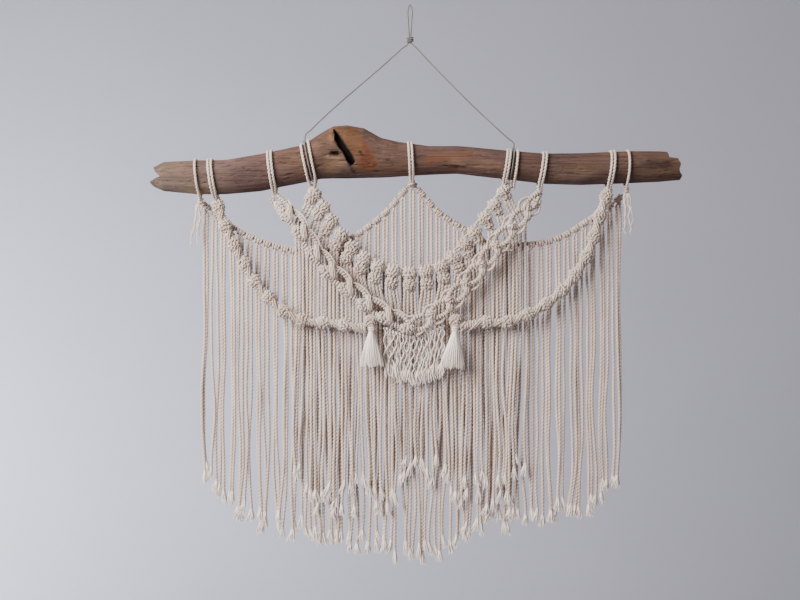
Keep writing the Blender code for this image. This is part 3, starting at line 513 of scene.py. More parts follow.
@dataclass(frozen=True)
class FibreFinish:
    """Spun fibre: cotton or twine, with painted shade in the grooves between its plies."""

    name: str  # the material's name
    light: Row  # colour of the crests
    deep: Row  # colour of worn and shaded spots
    groove_shade: float  # share of the colour left between two plies: painted shade in the grooves
    fuzz: float  # depth of the fibre relief
    pattern: Pattern = Pattern.MOTTLED  # whether the colour drifts along the piece
    roughness: float = 0.95  # the surface's roughness
    sheen: float = 0.3  # strength of the soft light on the fibres

    def material(self) -> bpy.types.Material:
        """Builds the fibre's node material and returns it."""
        sheet = NodeSheet(self.name)
        drift = sheet.ramp(sheet.noise(34.0, 3.0),
                           ((self.pattern.value, self.deep), (0.62, self.light)))
        speck = sheet.ramp(sheet.noise(900.0, 3.0, rough=0.7),
                           ((0.3, (0.86, 0.85, 0.84)), (0.62, CLEAR)))
        tone = sheet.add("ShaderNodeAttribute", attribute_name="tone")
        # Points at tone 0, in the grooves between plies, are darkened: painted shade.
        shaded = (self.groove_shade, self.groove_shade * 0.97, self.groove_shade * 0.94)
        plies = sheet.ramp(tone.outputs["Fac"], ((0.0, shaded), (1.0, CLEAR)))
        colour = sheet.multiply(sheet.multiply(drift, speck), plies)
        coarse = sheet.bump(sheet.noise(1100.0, 3.0, (1.0, 1.0, 0.35)), self.fuzz, 0.55)
        fine = sheet.bump(sheet.noise(3600.0, 2.0), self.fuzz * 0.4, 0.5, coarse)
        return sheet.finished(colour, fine, self.roughness, self.sheen)


@dataclass(frozen=True)
class WoodFinish:
    """Weathered driftwood with grain and drying cracks along the branch."""

    name: str  # the material's name
    # Colours from the grain's troughs to its ridges
    grain: Stops = ((0.3, (0.7, 0.68, 0.67)), (0.5, (1.0, 0.99, 0.98)), (0.7, (1.26, 1.27, 1.28)))
    # Colours over a noise whose middle values are the cracks
    crack: Stops = ((0.488, CLEAR), (0.498, (0.6, 0.56, 0.54)), (0.502, (0.6, 0.56, 0.54)),
                    (0.512, CLEAR))
    # Colours of the broad blotches
    blotch: Stops = ((0.32, (0.74, 0.74, 0.76)), (0.66, (1.12, 1.1, 1.08)))
    specks: Stops = ((0.27, (0.42, 0.38, 0.38)), (0.36, CLEAR))  # colours of the small dark specks
    # Colours of the weather's stains
    stain: Stops = ((0.4, (0.82, 0.79, 0.97)), (0.6, (0.9, 0.84, 0.82)))
    roughness: float = 0.82  # the surface's roughness

    def material(self) -> bpy.types.Material:
        """Builds the wood's node material and returns it."""
        sheet = NodeSheet(self.name)
        # The tint holds the wood's colour with painted light on top and painted shade in the slit
        # and hole.
        tint = sheet.add("ShaderNodeAttribute", attribute_name="wood_tint_with_painted_light_and_shade")
        grain = sheet.noise(420.0, 6.0, (0.045, 1.0, 1.0), 0.68)
        crack = sheet.ramp(sheet.noise(150.0, 4.0, (0.03, 1.0, 1.0), 0.5), self.crack)
        colour = tint.outputs["Color"]
        for layer in (sheet.ramp(grain, self.grain), crack,
                      sheet.ramp(sheet.noise(38.0, 4.0, (0.5, 1.0, 1.0)), self.blotch),
                      sheet.ramp(sheet.noise(330.0, 3.0, (0.45, 1.0, 1.0), 0.6), self.specks),
                      sheet.ramp(sheet.noise(21.0, 5.0, (0.6, 1.0, 1.0), 0.6), self.stain)):
            colour = sheet.multiply(colour, layer)
        ridges = sheet.bump(grain, 0.0009, 0.8)
        splits = sheet.bump(crack, 0.0008, 0.8, ridges)
        fine = sheet.bump(sheet.noise(1500.0, 3.0, (0.15, 1.0, 1.0)), 0.0003, 0.6, splits)
        return sheet.finished(colour, fine, self.roughness, 0.0)


@dataclass(frozen=True)
class PaintFinish:
    """Plain matt paint for the floor and backdrop."""

    name: str  # the material's name
    colour: Row  # the paint's colour

    def material(self) -> bpy.types.Material:
        """Builds the paint's node material and returns it."""
        sheet = NodeSheet(self.name)
        lighter = tuple(min(1.0, c * 1.03) for c in self.colour)
        colour = sheet.ramp(sheet.noise(3.0, 2.0), ((0.3, self.colour), (0.7, lighter)))
        return sheet.finished(colour, sheet.bump(sheet.noise(300.0, 2.0), 0.0002, 0.2), 0.9, 0.0)


Finish = FibreFinish | WoodFinish | PaintFinish
COTTON = FibreFinish("cotton_cord", (0.87, 0.72, 0.63), (0.77, 0.6, 0.505), 0.36, 0.0003)
# A darker copy of the cotton cord for the fringes behind the collar: painted shade of the layers
# in front.
BACK_COTTON_SHADED = FibreFinish("cotton_back_cord_painted_shade", (0.8, 0.635, 0.55), (0.7, 0.525, 0.435), 0.42,
                          0.0003)
LOOSE_COTTON = FibreFinish("loose_cotton", (0.93, 0.82, 0.755), (0.87, 0.755, 0.685), 0.7,
                           0.0002, Pattern.PLAIN)
STRING = FibreFinish("grey_twine", (0.19, 0.17, 0.155), (0.12, 0.105, 0.095), 0.5, 0.00015)
DRIFTWOOD = WoodFinish("driftwood")


# ---- mesh ----
@dataclass
class MeshBuffer:
    """Gathers ropes and yarns, and turns them into one mesh piece."""

    points: list[Array] = field(default_factory=list)  # blocks of points
    quads: list[Array] = field(default_factory=list)  # blocks of four-sided faces
    tones: list[Array] = field(default_factory=list)  # tones: 0 in a groove, 1 on a crest; the finish paints shade in the grooves
    count: int = 0  # number of points so far

    def rings(self, rings: Array, tones: Array) -> None:
        """Skins a row of closed rings.

        Args:
            rings: points, as ring by place by xyz.
            tones: tone of each point.
        """
        rows, sides = rings.shape[:2]
        index = np.arange(rows * sides).reshape(rows, sides) + self.count
        following = np.roll(index, -1, axis=1)
        quads = np.stack((index[:-1], following[:-1], following[1:], index[1:]), axis=-1)
        self.points.append(rings.reshape(-1, 3))
        self.quads.append(quads.reshape(-1, 4))
        self.tones.append(tones.reshape(-1))
        self.count += rows * sides

    def sweep(self, line: Array, radii: Array, turns: Array, tones: Array,
              hint: Row, steady: bool) -> None:
        """Sweeps a section along a line.

        Args:
            line: the line's points.
            radii: radius of each point of each section.
            turns: angle of each point of each section.
            tones: tone of each point of each section.
            hint: starting cross direction.
            steady: True where the hint itself stays square enough to the whole line.
        """
        if steady:
            ahead = unit(np.gradient(line, axis=0))
            up = unit(np.cross(ahead, np.array(hint)))
            side = np.cross(up, ahead)
        else:
            side, up = frames(line, hint)
        out = (np.cos(turns)[..., None] * side[:, None] + np.sin(turns)[..., None] * up[:, None])
        self.rings(line[:, None] + radii[..., None] * out, tones)

    def rope(self, line: Array, radius: Size, *, lay: float = LAY, phase: float = 0.0,
             shade: float = 0.0, hint: Row = BACKWARD, steady: bool = False,
             plies: int = 3) -> None:
        """Lays a twisted rope.

        Args:
            line: its middle line, with a point for each ring.
            radius: radius over the crests, one for all or one a point.
            lay: length of one turn of the plies.
            phase: angle of the first ply at the start.
            shade: added to the tone of the whole rope.
            hint: starting cross direction.
            steady: see sweep.
            plies: number of crests round it.
        """
        turns = (phase + 2 * pi * lengths(line)[:, None] / lay
                 + np.arange(2 * plies)[None] * pi / plies)
        # Tone 1 on a crest and 0 in a groove, where the finish paints shade.
        crest = np.tile([1.0, 0.0], plies)[None].repeat(len(line), axis=0)
        radii = np.broadcast_to(np.asarray(radius, float), (len(line),))[:, None]
        self.sweep(line, radii * (GROOVE + (1 - GROOVE) * crest), turns,
                   crest * (1.0 + shade) + (1 - crest) * shade, hint, steady)

    def yarn(self, line: Array, radius: Size, *, sides: int = 3, tone: float = 0.8) -> None:
        """Lays a plain thin yarn.

        Args:
            line: its middle line.
            radius: its radius, one for all or one a point.
            sides: corners of its section.
            tone: its tone.
        """
        radii = np.broadcast_to(np.asarray(radius, float), (len(line),))[:, None]
        turns = (np.arange(sides) * 2 * pi / sides)[None].repeat(len(line), axis=0)
        self.sweep(line, radii.repeat(sides, axis=1), turns,
                   np.full((len(line), sides), tone), BACKWARD, False)

    def build(self, name: str, finish: Finish, *nodes: str) -> Item:
        """Makes the piece from all that was gathered.

        Args:
            name: the piece's name.
            finish: what it is made of.
            nodes: plain solids that it takes the place of.

        Returns:
            The piece.
        """
        points = np.concatenate(self.points)
        quads = np.concatenate(self.quads)
        mesh = bpy.data.meshes.new(name)
        mesh.vertices.add(len(points))
        mesh.vertices.foreach_set("co", points.astype(np.float32).ravel())
        mesh.loops.add(quads.size)
        mesh.loops.foreach_set("vertex_index", quads.astype(np.int32).ravel())
        mesh.polygons.add(len(quads))
        mesh.polygons.foreach_set("loop_start", np.arange(0, quads.size, 4, dtype=np.int32))
        mesh.update(calc_edges=True)
        mesh.shade_smooth()
        tone = mesh.attributes.new("tone", "FLOAT", "POINT")
        tone.data.foreach_set("value", np.concatenate(self.tones).astype(np.float32))
        return dressed(bpy.data.objects.new(name, mesh), finish, *nodes)


class Corded:
    """A piece that gathers its cords, and their frayed ends, each in a mesh of its own."""

    @cached_property
    def cords(self) -> MeshBuffer:
        """The mesh of its cords."""
        return MeshBuffer()

    @cached_property
    def tufts(self) -> MeshBuffer:
        """The mesh of their frayed ends."""
        return MeshBuffer()


def dressed(piece: Item, finish: Finish, *nodes: str) -> Item:
    """Gives a piece its finish, fixes it to the body and reports it.

    Args:
        piece: the new piece.
        finish: what it is made of.
        nodes: plain solids that it takes the place of.

    Returns:
        The piece.
    """
    shown(piece).data.materials.clear()
    piece.data.materials.append(MATERIALS.get(finish))
    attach(piece, "root")
    if nodes:
        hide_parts(*nodes)
    log.info("%s: %d faces", piece.name, len(piece.data.polygons))
    return piece


class MaterialShelf:
    """Keeps each finish's material, so that it is built once."""

    def __init__(self) -> None:
        """Starts with an empty shelf."""
        self.made: dict[object, bpy.types.Material] = {}

    def get(self, finish: Finish) -> bpy.types.Material:
        """The material of a finish.

        Args:
            finish: the finish to find or to build.

        Returns:
            Its material.
        """
        if finish not in self.made:
            self.made[finish] = finish.material()
        return self.made[finish]


MATERIALS = MaterialShelf()


# ---- branch ----
def inside_depth(outline: tuple, x: float, z: float) -> float:
    """How far inside an outline a point lies.

    Args:
        outline: the outline's corners, x and z.
        x: the point's x.
        z: the point's z.

    Returns:
        Distance to the outline, negative outside it.
    """
    inside, nearest = False, 1.0
    for (x0, z0), (x1, z1) in zip(outline, outline[1:] + outline[:1]):
        if (z0 > z) != (z1 > z) and x < x0 + (x1 - x0) * (z - z0) / (z1 - z0):
            inside = not inside
        run = (x1 - x0, z1 - z0)
        share = ((x - x0) * run[0] + (z - z0) * run[1]) / (run[0] ** 2 + run[1] ** 2)
        share = min(1.0, max(0.0, share))
        nearest = min(nearest, hypot(x - x0 - run[0] * share, z - z0 - run[1] * share))
    return nearest if inside else -nearest


class WoodPatch(NamedTuple):
    """A patch of other colour on the front of the branch."""

    colour: Row
    blur: float
    outline: tuple


PATCHES = (
    WoodPatch((0.18, 0.116, 0.066), 0.008, ((-0.099, -0.182), (-0.084, -0.18),
        (-0.074, -0.19), (-0.07, -0.201), (-0.079, -0.203), (-0.098, -0.201),
        (-0.101, -0.193))),
    WoodPatch((0.175, 0.102, 0.05), 0.004, ((-0.0985, -0.15), (-0.0915, -0.1475),
        (-0.0905, -0.16), (-0.0935, -0.169), (-0.0975, -0.162))),
    WoodPatch((0.14, 0.068, 0.028), 0.003, ((-0.0898, -0.1464), (-0.0743, -0.1449),
        (-0.0644, -0.1489), (-0.0594, -0.1559), (-0.0505, -0.1728), (-0.0395, -0.1857),
        (-0.036, -0.1937), (-0.0385, -0.1997), (-0.0505, -0.2016), (-0.0644, -0.1997),
        (-0.0684, -0.1947), (-0.0654, -0.1877), (-0.0724, -0.1758), (-0.0803, -0.1638),
        (-0.0853, -0.1548))),
    WoodPatch((0.115, 0.04, 0.017), 0.0045, ((-0.06, -0.158), (-0.0505, -0.172),
        (-0.04, -0.186), (-0.0365, -0.195), (-0.043, -0.2), (-0.056, -0.199),
        (-0.062, -0.192), (-0.06, -0.184), (-0.056, -0.176))),
    WoodPatch((0.035, 0.014, 0.01), 0.0012, ((-0.0625, -0.1715), (-0.0585, -0.179),
        (-0.052, -0.186), (-0.05, -0.1875), (-0.0545, -0.1865), (-0.0605, -0.18))),
    WoodPatch((0.03, 0.015, 0.011), 0.0016, ((-0.073, -0.194), (-0.07, -0.1945),
        (-0.064, -0.204), (-0.066, -0.206), (-0.07, -0.201))),
    WoodPatch((0.05, 0.028, 0.019), 0.0026, ((-0.046, -0.2), (-0.038, -0.1985),
        (-0.032, -0.201), (-0.04, -0.2025))),
    WoodPatch((0.13, 0.058, 0.025), 0.006, ((0.015, -0.18), (0.033, -0.178),
        (0.07, -0.179), (0.09, -0.18), (0.08, -0.185), (0.056, -0.188),
        (0.03, -0.1935), (0.017, -0.196))),
    WoodPatch((0.165, 0.1, 0.052), 0.006, ((0.05, -0.187), (0.09, -0.188),
        (0.116, -0.196), (0.115, -0.202), (0.065, -0.199), (0.045, -0.193))),
    WoodPatch((0.05, 0.022, 0.015), 0.0018, ((0.04, -0.1935), (0.064, -0.1945),
        (0.066, -0.1965), (0.042, -0.1955))),
    WoodPatch((0.15, 0.098, 0.055), 0.012, ((0.17, -0.198), (0.2, -0.193),
        (0.225, -0.196), (0.22, -0.21), (0.172, -0.211))),
    WoodPatch((0.044, 0.027, 0.02), 0.006, ((0.285, -0.187), (0.3096, -0.187),
        (0.315, -0.1975), (0.29, -0.199), (0.272, -0.194))),
)


@dataclass
class Branch:
    """The driftwood branch."""

    grey: Row = (0.096, 0.058, 0.041)  # colour of the weathered wood
    pale: Row = (0.215, 0.168, 0.112)  # colour towards the left end and its underside
    patches: tuple[WoodPatch, ...] = PATCHES  # patches of other colours on the front
    sides: int = 120  # points round the branch
    station: float = 0.0015  # distance between two sections
    ridge: float = 0.0003  # height of the long ridges
    fibre: float = 0.00022  # height of the fine grain
    crack: float = 0.0011  # depth of the drying cracks
    facing: float = 0.05  # cosine of the angle over which the surface counts as the front
    # Outlines of what is broken off at both ends, and seeds of the breaks
    ends: tuple = ((LEFT_END, 3), (RIGHT_END, 4))
    chip: float = 0.0022  # distance between two points of a broken edge
    rough: Row = (0.0006, 0.0005)  # how uneven it is along the branch and up
    sharp: float = radians(48)  # angle from which two faces meet in an edge

    @staticmethod
    def section(x: float) -> list[float]:
        """Top, bottom and half depth of the branch at x."""
        columns = list(zip(*BRANCH))
        return [float(np.interp(x, columns[0], columns[k])) for k in (1, 2, 3)]

    @classmethod
    def point(cls, x: float, angle: float, lift: float = 0.0) -> Array:
        """A point on or over the branch.

        Args:
            x: place along the branch.
            angle: 0 faces the front, a quarter turn is the top.
            lift: distance over the surface.

        Returns:
            The point.
        """
        top, bottom, half_depth = cls.section(x)
        half_height = (top - bottom) / 2
        grain = 1 + 0.02 * sin(3 * angle + 31 * x) + 0.012 * sin(5 * angle - 67 * x)
        across = -half_depth * grain * cos(angle)
        up = half_height * sin(angle)
        out = vec(0.0, across / half_depth ** 2, up / half_height ** 2)
        return vec(x, across, (top + bottom) / 2 + up) + unit(out) * lift

    def relief(self, x: float, angle: float) -> float:
        """How far the weathered surface lies over or under the plain section.

        Args:
            x: place along the branch.
            angle: place round it.

        Returns:
            The signed distance.
        """
        turn = (cos(angle), sin(angle))
        ridge = waver(x * 16, turn[0] * 7, turn[1] * 7)
        fibre = waver(x * 45, turn[0] * 26, turn[1] * 26 + 9)
        split = abs(waver(x * 11, turn[0] * 9 + 5, turn[1] * 9))
        return (self.ridge * ridge + self.fibre * fibre
                - self.crack * (1 - ease(0.0, 0.035, split)))

    def hollow(self, x: float, z: float) -> float:
        """Depth of the slit and the knot hole at a place on the front.

        Args:
            x: the place along the branch.
            z: its height.

        Returns:
            The depth.
        """
        slit = SLIT_DEPTH * ease(-0.0002, 0.0018, inside_depth(BURL_SLIT, x, z))
        round_hole = hypot((x - KNOT_HOLE[0]) / KNOT_HOLE_SIZE[0],
                           (z - KNOT_HOLE[1]) / KNOT_HOLE_SIZE[1])
        round_hole += 0.45 * waver(x * 380, z * 520, 2.0)
        return max(slit, KNOT_HOLE_DEPTH * (1 - ease(0.45, 1.1, round_hole)))

    def colour(self, x: float, z: float, angle: float, hollow: float) -> Row:
        """The wood's colour at a place, with painted light on its top and painted shade in the
        slit and the knot hole.

        Args:
            x: place along the branch.
            z: height.
            angle: place round the branch.
            hollow: depth of the slit or hole there.

        Returns:
            Red, green and blue.
        """
        under = ease(0.0, 0.9, -sin(angle))
        end = ease(-0.18, -0.27, x)
        # The top of the branch is painted lighter: painted light from above.
        colour = np.array(self.grey) * (1 + 0.25 * ease(0.1, 0.9, sin(angle)))
        colour = colour + (np.array(self.pale) - colour) * end * (0.35 + 0.55 * under)
        if cos(angle) > self.facing:
            wobble = 0.0034 * waver(x * 70, z * 130, 3.0) + 0.002 * waver(x * 210, z * 420, 7.0)
            for patch in self.patches:
                share = ease(-patch.blur * 0.6, patch.blur,
                             inside_depth(patch.outline, x, z) + wobble)
                share *= min(1.0, 0.86 + 0.5 * waver(x * 120, z * 300, 5.0))
                colour = colour + (np.array(patch.colour) - colour) * share
        # Darker the deeper the slit or knot hole: painted shade in the hollows.
        colour = colour * (1 - 0.93 * ease(0.0005, 0.004, hollow))
        return tuple(float(c) for c in colour)

    def cutter(self, outline: tuple, seed: int) -> Item:
        """A rough block that breaks an end of the branch off along an outline.

        Args:
            outline: the block's corners, x and z.
            seed: seed of its unevenness.

        Returns:
            The block.
        """
        uneven, rows = Random(seed), []
        for (x0, z0), (x1, z1) in zip(outline, outline[1:] + outline[:1]):
            steps = max(1, round(hypot(x1 - x0, z1 - z0) / self.chip))
            rows += [(x0 + (x1 - x0) * i / steps, z0 + (z1 - z0) * i / steps)
                     for i in range(steps)]
        depths, (along, up) = np.linspace(-0.04, 0.04, 34), self.rough
        points = [(x + uneven.uniform(-along, along), float(y), z + uneven.uniform(-up, up))
                  for y in depths for x, z in rows]
        block = in_scene("break", points, tube_faces(len(depths), len(rows)))
        cage = bmesh.new()
        cage.from_mesh(block.data)
        bmesh.ops.recalc_face_normals(cage, faces=cage.faces)
        cage.to_mesh(block.data)
        cage.free()
        return block

    def build(self) -> Item:
        """Builds the branch in place of its plain solid and returns it."""
        stations = np.arange(BRANCH[0][0], BRANCH[-1][0] + self.station, self.station)
        angles = [2 * pi * (i + 0.5) / self.sides for i in range(self.sides)]
        points = []
        for x in stations:
            for angle in angles:
                place = self.point(float(x), angle, self.relief(float(x), angle))
                if cos(angle) > self.facing and BURL[0] < x < BURL[1]:
                    place[1] += self.hollow(float(x), float(place[2]))
                points.append(tuple(place))
        branch = in_scene("driftwood", points, tube_faces(len(stations), self.sides))
        blocks = [self.cutter(outline, seed) for outline, seed in self.ends]
        for block in blocks:
            cut = branch.modifiers.new("break", "BOOLEAN")
            cut.operation, cut.solver, cut.object = "DIFFERENCE", "EXACT", block
        bpy.context.view_layer.update()
        evaluated = branch.evaluated_get(bpy.context.evaluated_depsgraph_get())
        broken = bpy.data.meshes.new_from_object(evaluated)
        branch.modifiers.clear()
        branch.data = broken
        for item in (branch, *blocks):
            bpy.context.scene.collection.objects.unlink(item)
        for block in blocks:
            bpy.data.objects.remove(block)
        self.paint(broken)
        broken.shade_smooth()
        broken.set_sharp_from_angle(angle=self.sharp)
        return dressed(branch, DRIFTWOOD, "driftwood_branch")

    def paint(self, mesh: bpy.types.Mesh) -> None:
        """Writes the wood's colour, with its painted light and shade, into the mesh.

        Args:
            mesh: the finished branch.
        """
        tint = mesh.attributes.new("wood_tint_with_painted_light_and_shade", "FLOAT_COLOR", "POINT")
        for vertex, entry in zip(mesh.vertices, tint.data):
            x, y, z = vertex.co
            top, bottom, half_depth = self.section(x)
            angle = atan2((z - (top + bottom) / 2) / (top - bottom) * 2, -y / half_depth)
            hollow = self.hollow(x, z) if y < 0 and BURL[0] < x < BURL[1] else 0.0
            entry.color = (*self.colour(x, z, angle, hollow), 1.0)


# ---- loops and knots over and under the branch ----
LOOP_ROPE = 0.0019  # radius of a cord stretched over the branch
LOOP_LAY = 0.0082  # length of one turn of its two plies
LOOP_PRESS = 0.0015  # how far it beds down on the top of the wood
LOOP_ARC = np.radians(-50 + 280 * np.arange(25) / 24)  # from low on the front over the top
LEG_DEPTH = 0.0016  # of a leg before and behind the gathering knot
LEG_CLOSE = 0.6  # how near the legs draw there, as a share of their spread
KNOT_SIZE = (0.003, 0.0027)  # half width and half depth of the gathering knot
UPRIGHT_PITCH = 0.0032  # distance between two turns of an upright gathering knot
UPRIGHT_TURNS = 2.4
LYING_PITCH = 0.0034  # and of a lying one


@dataclass(frozen=True)
class Loop:
    """Cords laid over the branch, gathered in a knot under it."""

    x_top: float  # place on top of the branch
    x_bottom: float  # place of the knot
    cords: int  # number of cords side by side
    spread: float  # distance between them

    @property
    def root(self) -> Array:
        """The point under the branch where the legs meet."""
        return vec(self.x_bottom, 0.0, Branch.section(self.x_bottom)[1] - ROOT_DROP)

    def lay(self, buffer: MeshBuffer) -> None:
        """Lays the cords: up the front, over the top and down the back.

        Args:
            buffer: where the cords go.
        """
        for k in range(self.cords):
            side = (k - (self.cords - 1) / 2) * self.spread
            route = [self.root + vec(side * LEG_CLOSE, -LEG_DEPTH, 0.0)]
            for angle in LOOP_ARC:
                lean = (1 - sin(angle)) / 2
                x = self.x_top + (self.x_bottom - self.x_top) * lean + side
                pressed = LOOP_PRESS * max(0.0, sin(angle)) ** 3
                route.append(Branch.point(x, angle, CORD / 2 + REST * 0.5 - pressed))
            route.append(self.root + vec(side * LEG_CLOSE, LEG_DEPTH, 0.0))
            buffer.rope(smooth_line(route, STEP), LOOP_ROPE, lay=LOOP_LAY, phase=k * 1.3,
                        hint=RIGHTWARD, plies=2)

    def bind(self, buffer: MeshBuffer, width: float = 0.0, offset: float = 0.0) -> None:
        """Ties the gathering knot under the loop.

        Args:
            buffer: where the cord goes.
            width: length of a lying knot, or 0 for an upright one.
            offset: shift of the knot along the branch.
        """
        middle = self.root + vec(offset, 0.0, 0.0)
        if width:
            half, pitch = vec(width / 2 - KNOT_ROPE, 0.0, 0.0), LYING_PITCH
            axis = np.array((middle - half, middle + half))
        else:
            half, pitch = vec(0.0, 0.0, UPRIGHT_PITCH * UPRIGHT_TURNS / 2), UPRIGHT_PITCH
            axis = np.array((middle + half, middle - half))
        buffer.rope(wound(axis, pitch, *KNOT_SIZE), KNOT_ROPE, hint=(0.3, 1.0, 0.2))

    def hang(self, buffer: MeshBuffer) -> None:
        """Lays the cords and ties an upright gathering knot under them."""
        self.lay(buffer)
        self.bind(buffer)


class Loops(Enum):
    """The loops of cord over the branch."""

    LEFT_OUTER = Loop(-0.2568, -0.2515, 1, 0.0)
    LEFT_SPIRAL = Loop(-0.2395, -0.2332, 2, 0.0038)
    LEFT_LATTICE = Loop(-0.1682, -0.1622, 2, 0.0038)
    LEFT_COLLAR = Loop(-0.1262, -0.1165, 2, 0.0088)
    CENTRE = Loop(-0.0002, 0.0022, 2, 0.0038)
    RIGHT_COLLAR_INNER = Loop(0.119, 0.113, 2, 0.0034)
    RIGHT_COLLAR_OUTER = Loop(0.1292, 0.1245, 1, 0.0)
    RIGHT_LATTICE = Loop(0.1618, 0.1554, 2, 0.0038)
    RIGHT_SPIRAL = Loop(0.2426, 0.2381, 2, 0.0038)
    RIGHT_OUTER = Loop(0.261, 0.2592, 1, 0.0)
    TIE_LEFT = Loop(-0.1262, -0.1165, 1, 0.0)
    TIE_RIGHT = Loop(0.1246, 0.1192, 1, 0.0)


# ---- hanging strands ----
OPEN_LAY = 0.0084  # length of one turn of a hanging strand, which opens into two plies
BUNCH_SIZES = (1, 2, 2, 3, 3, 4)  # how many neighbours hang together
BUNCH_PITCH = 0.0038  # distance between two strands of a bunch
PAIR_SHIFT = 0.0006  # how far the two strands of one lark's head lean together
CROWDED = (0.1, 0.15)  # inside the first x the strands hang evenly, outside the second not
DRIFT = 0.0008  # how far a whole bunch is shifted
LAYERING = 0.0022  # depth over which neighbours lie in layers
OWN_WAVER = 0.001  # how far a strand wavers sideways,
DEEP_WAVER = 0.0012  # in depth
BUNCH_WAVER = 0.0026  # and together with its bunch
LOOSE_SWING = 0.0062  # how far the lower end of a bunch swings
LOOSE_STRAY = 0.0048  # and how far each strand strays from it
END_TAPER = (1.0, 0.96, 0.86, 0.7)  # of the last rings before the frayed end


class Bunching(NamedTuple):
    """Where a strand hangs in its bunch: its sideways shift and the bunch's number."""

    shift: float
    bunch: int


def bunched(count: int, pitch: float, seed: int) -> list[Bunching]:
    """Gathers a row of strands in small bunches.

    Args:
        count: number of strands.
        pitch: distance between two strands at the top.
        seed: seed of the bunches' sizes.

    Returns:
        The place of each strand in its bunch.
    """
    uneven, places, bunch = Random(seed), [], 0
    while len(places) < count:
        size = uneven.choice(BUNCH_SIZES)
        drift = uneven.uniform(-DRIFT, DRIFT)
        for k in range(size):
            shift = drift - (k - (size - 1) / 2) * (pitch - BUNCH_PITCH)
            places.append(Bunching(shift, bunch + 17 * seed))
        bunch += 1
    return places[:count]


@dataclass
class HangingStrand:
    """One rope that hangs from a knot and frays at its end."""

    start: Array  # where it leaves its knot
    x: float  # its place when it hangs plumb
    y: float  # its depth when it hangs plumb
    z_hem: float  # height of its end
    number: int  # its place in its row, for how it wavers
    bunching: Bunching  # its place in its bunch
    turn_in: float = 0.03  # height in which it turns plumb

    def line(self) -> Array:
        """Its middle line down to the start of the tuft.

        Returns:
            The line's points.
        """
        z_end = self.z_hem + TUFT_LENGTH
        drop = self.start[2] - z_end
        count = max(4, round(drop / STEP))
        fall = np.linspace(0.0, drop, count + 1)
        settle = ease_all(0.0, self.turn_in, fall)
        x = self.start[0] + (self.x - self.start[0]) * settle
        y = self.start[1] + (self.y - self.start[1]) * settle
        z = self.start[2] - fall
        free = settle * ease_all(-0.02, 0.13, fall)
        loose = ease_all(drop - 0.24, drop + 0.02, fall)
        layer = LAYERING * ((self.number * 0.618) % 1.0 - 0.5)
        apart = 0.35 + 0.65 * ease(*CROWDED, abs(self.x))
        for i, height in enumerate(z):
            own = waver(self.number * 3.7, height * 16, 1.0)
            deep = waver(self.number * 5.1, height * 14, 8.0)
            swing = waver(self.bunching.bunch * 3.1, height * 7, 4.0)
            stray = waver(self.number * 2.3, height * 10, 6.0)
            x[i] += (free[i] * (apart * self.bunching.shift + OWN_WAVER * own
                                + BUNCH_WAVER * apart * swing)
                     + loose[i] * (LOOSE_SWING * swing + LOOSE_STRAY * stray))
            y[i] += free[i] * (layer + DEEP_WAVER * deep)
        return np.stack((x, y, z), axis=1)

    def lay(self, buffer: MeshBuffer, tufts: MeshBuffer) -> None:
        """Lays the rope and its frayed end.

        Args:
            buffer: where the rope goes.
            tufts: where the frayed end goes.
        """
        line = self.line()
        uneven = Random(self.number * 31 + round(self.x * 1e5))
        radius = np.full(len(line), ROPE * uneven.uniform(0.95, 1.05))
        radius[-len(END_TAPER):] *= np.array(END_TAPER)
        buffer.rope(line, radius, lay=OPEN_LAY * uneven.uniform(0.94, 1.06),
                    phase=uneven.uniform(0.0, 2.0), shade=uneven.uniform(-0.12, 0.04),
                    steady=True, plies=2)
        fray(tufts, line[-2], line[-1] - line[-5], uneven)


FIBRES = 26  # in one frayed end
FIBRE_TURN = 2.4  # angle from one fibre to the next
FIBRE_TAPER = np.array((0.0007, 0.00068, 0.0005, 0.00012))  # radius from root to tip
FIBRE_HOLD = 0.0035  # how far the fibres start inside the rope
ROOT_REACH = 0.001  # half width of the brush where it starts
OPENINGS = (0.0022, 0.0028, 0.0034, 0.0046)  # how far the brush opens


def fray(buffer: MeshBuffer, top: Array, ahead: Array, uneven: Random) -> None:
    """Opens the end of a rope into a brush of fibres.

    Args:
        buffer: where the fibres go.
        top: where the rope ends.
        ahead: direction in which it ends.
        uneven: source of the unevenness.
    """
    sway = vec(uneven.uniform(-0.35, 0.35), uneven.uniform(-0.12, 0.12), 0.0)
    opening = uneven.choice(OPENINGS)
    reach = TUFT_LENGTH * uneven.uniform(0.95, 1.45)
    for i in range(FIBRES):
        angle = FIBRE_TURN * i + uneven.uniform(-0.4, 0.4)
        out = vec(cos(angle), sin(angle) * 0.8, 0.0) * sqrt((i + 0.5) / FIBRES)
        fall = (unit(ahead) + sway * uneven.uniform(0.6, 1.3)) * reach * uneven.uniform(0.65, 1.12)
        curl = vec(uneven.uniform(-0.0007, 0.0007), uneven.uniform(-0.0005, 0.0005), 0.0)
        start = top - unit(ahead) * FIBRE_HOLD
        line = np.array((start + out * ROOT_REACH,
                         top + fall * 0.2 + out * (0.0012 + opening * 0.3),
                         top + fall * 0.62 + out * (ROOT_REACH + opening * 0.75) + curl,
                         top + fall + out * (ROOT_REACH + opening) - curl))
        buffer.yarn(line, FIBRE_TAPER, tone=uneven.uniform(0.35, 1.0))


# ---- lark's-head fringes ----
HEAD_DROP = 0.007  # from the carrying cord to where the strand leaves its head
HEAD_FRONT = 0.0006  # how far it leaves before the carrying cord
HEAD_RADIUS = 0.0029  # of the wraps' middle line round the carrying cord
HEAD_TURN = 0.0028  # way along the bar of one wrap
HEAD_ARC = np.radians(-62 + 600 * np.arange(18) / 17)  # the wraps of one head
HEAD_ALONG = np.arange(18) / 17 * 1.67 - 0.8  # turns along the bar at each of its points


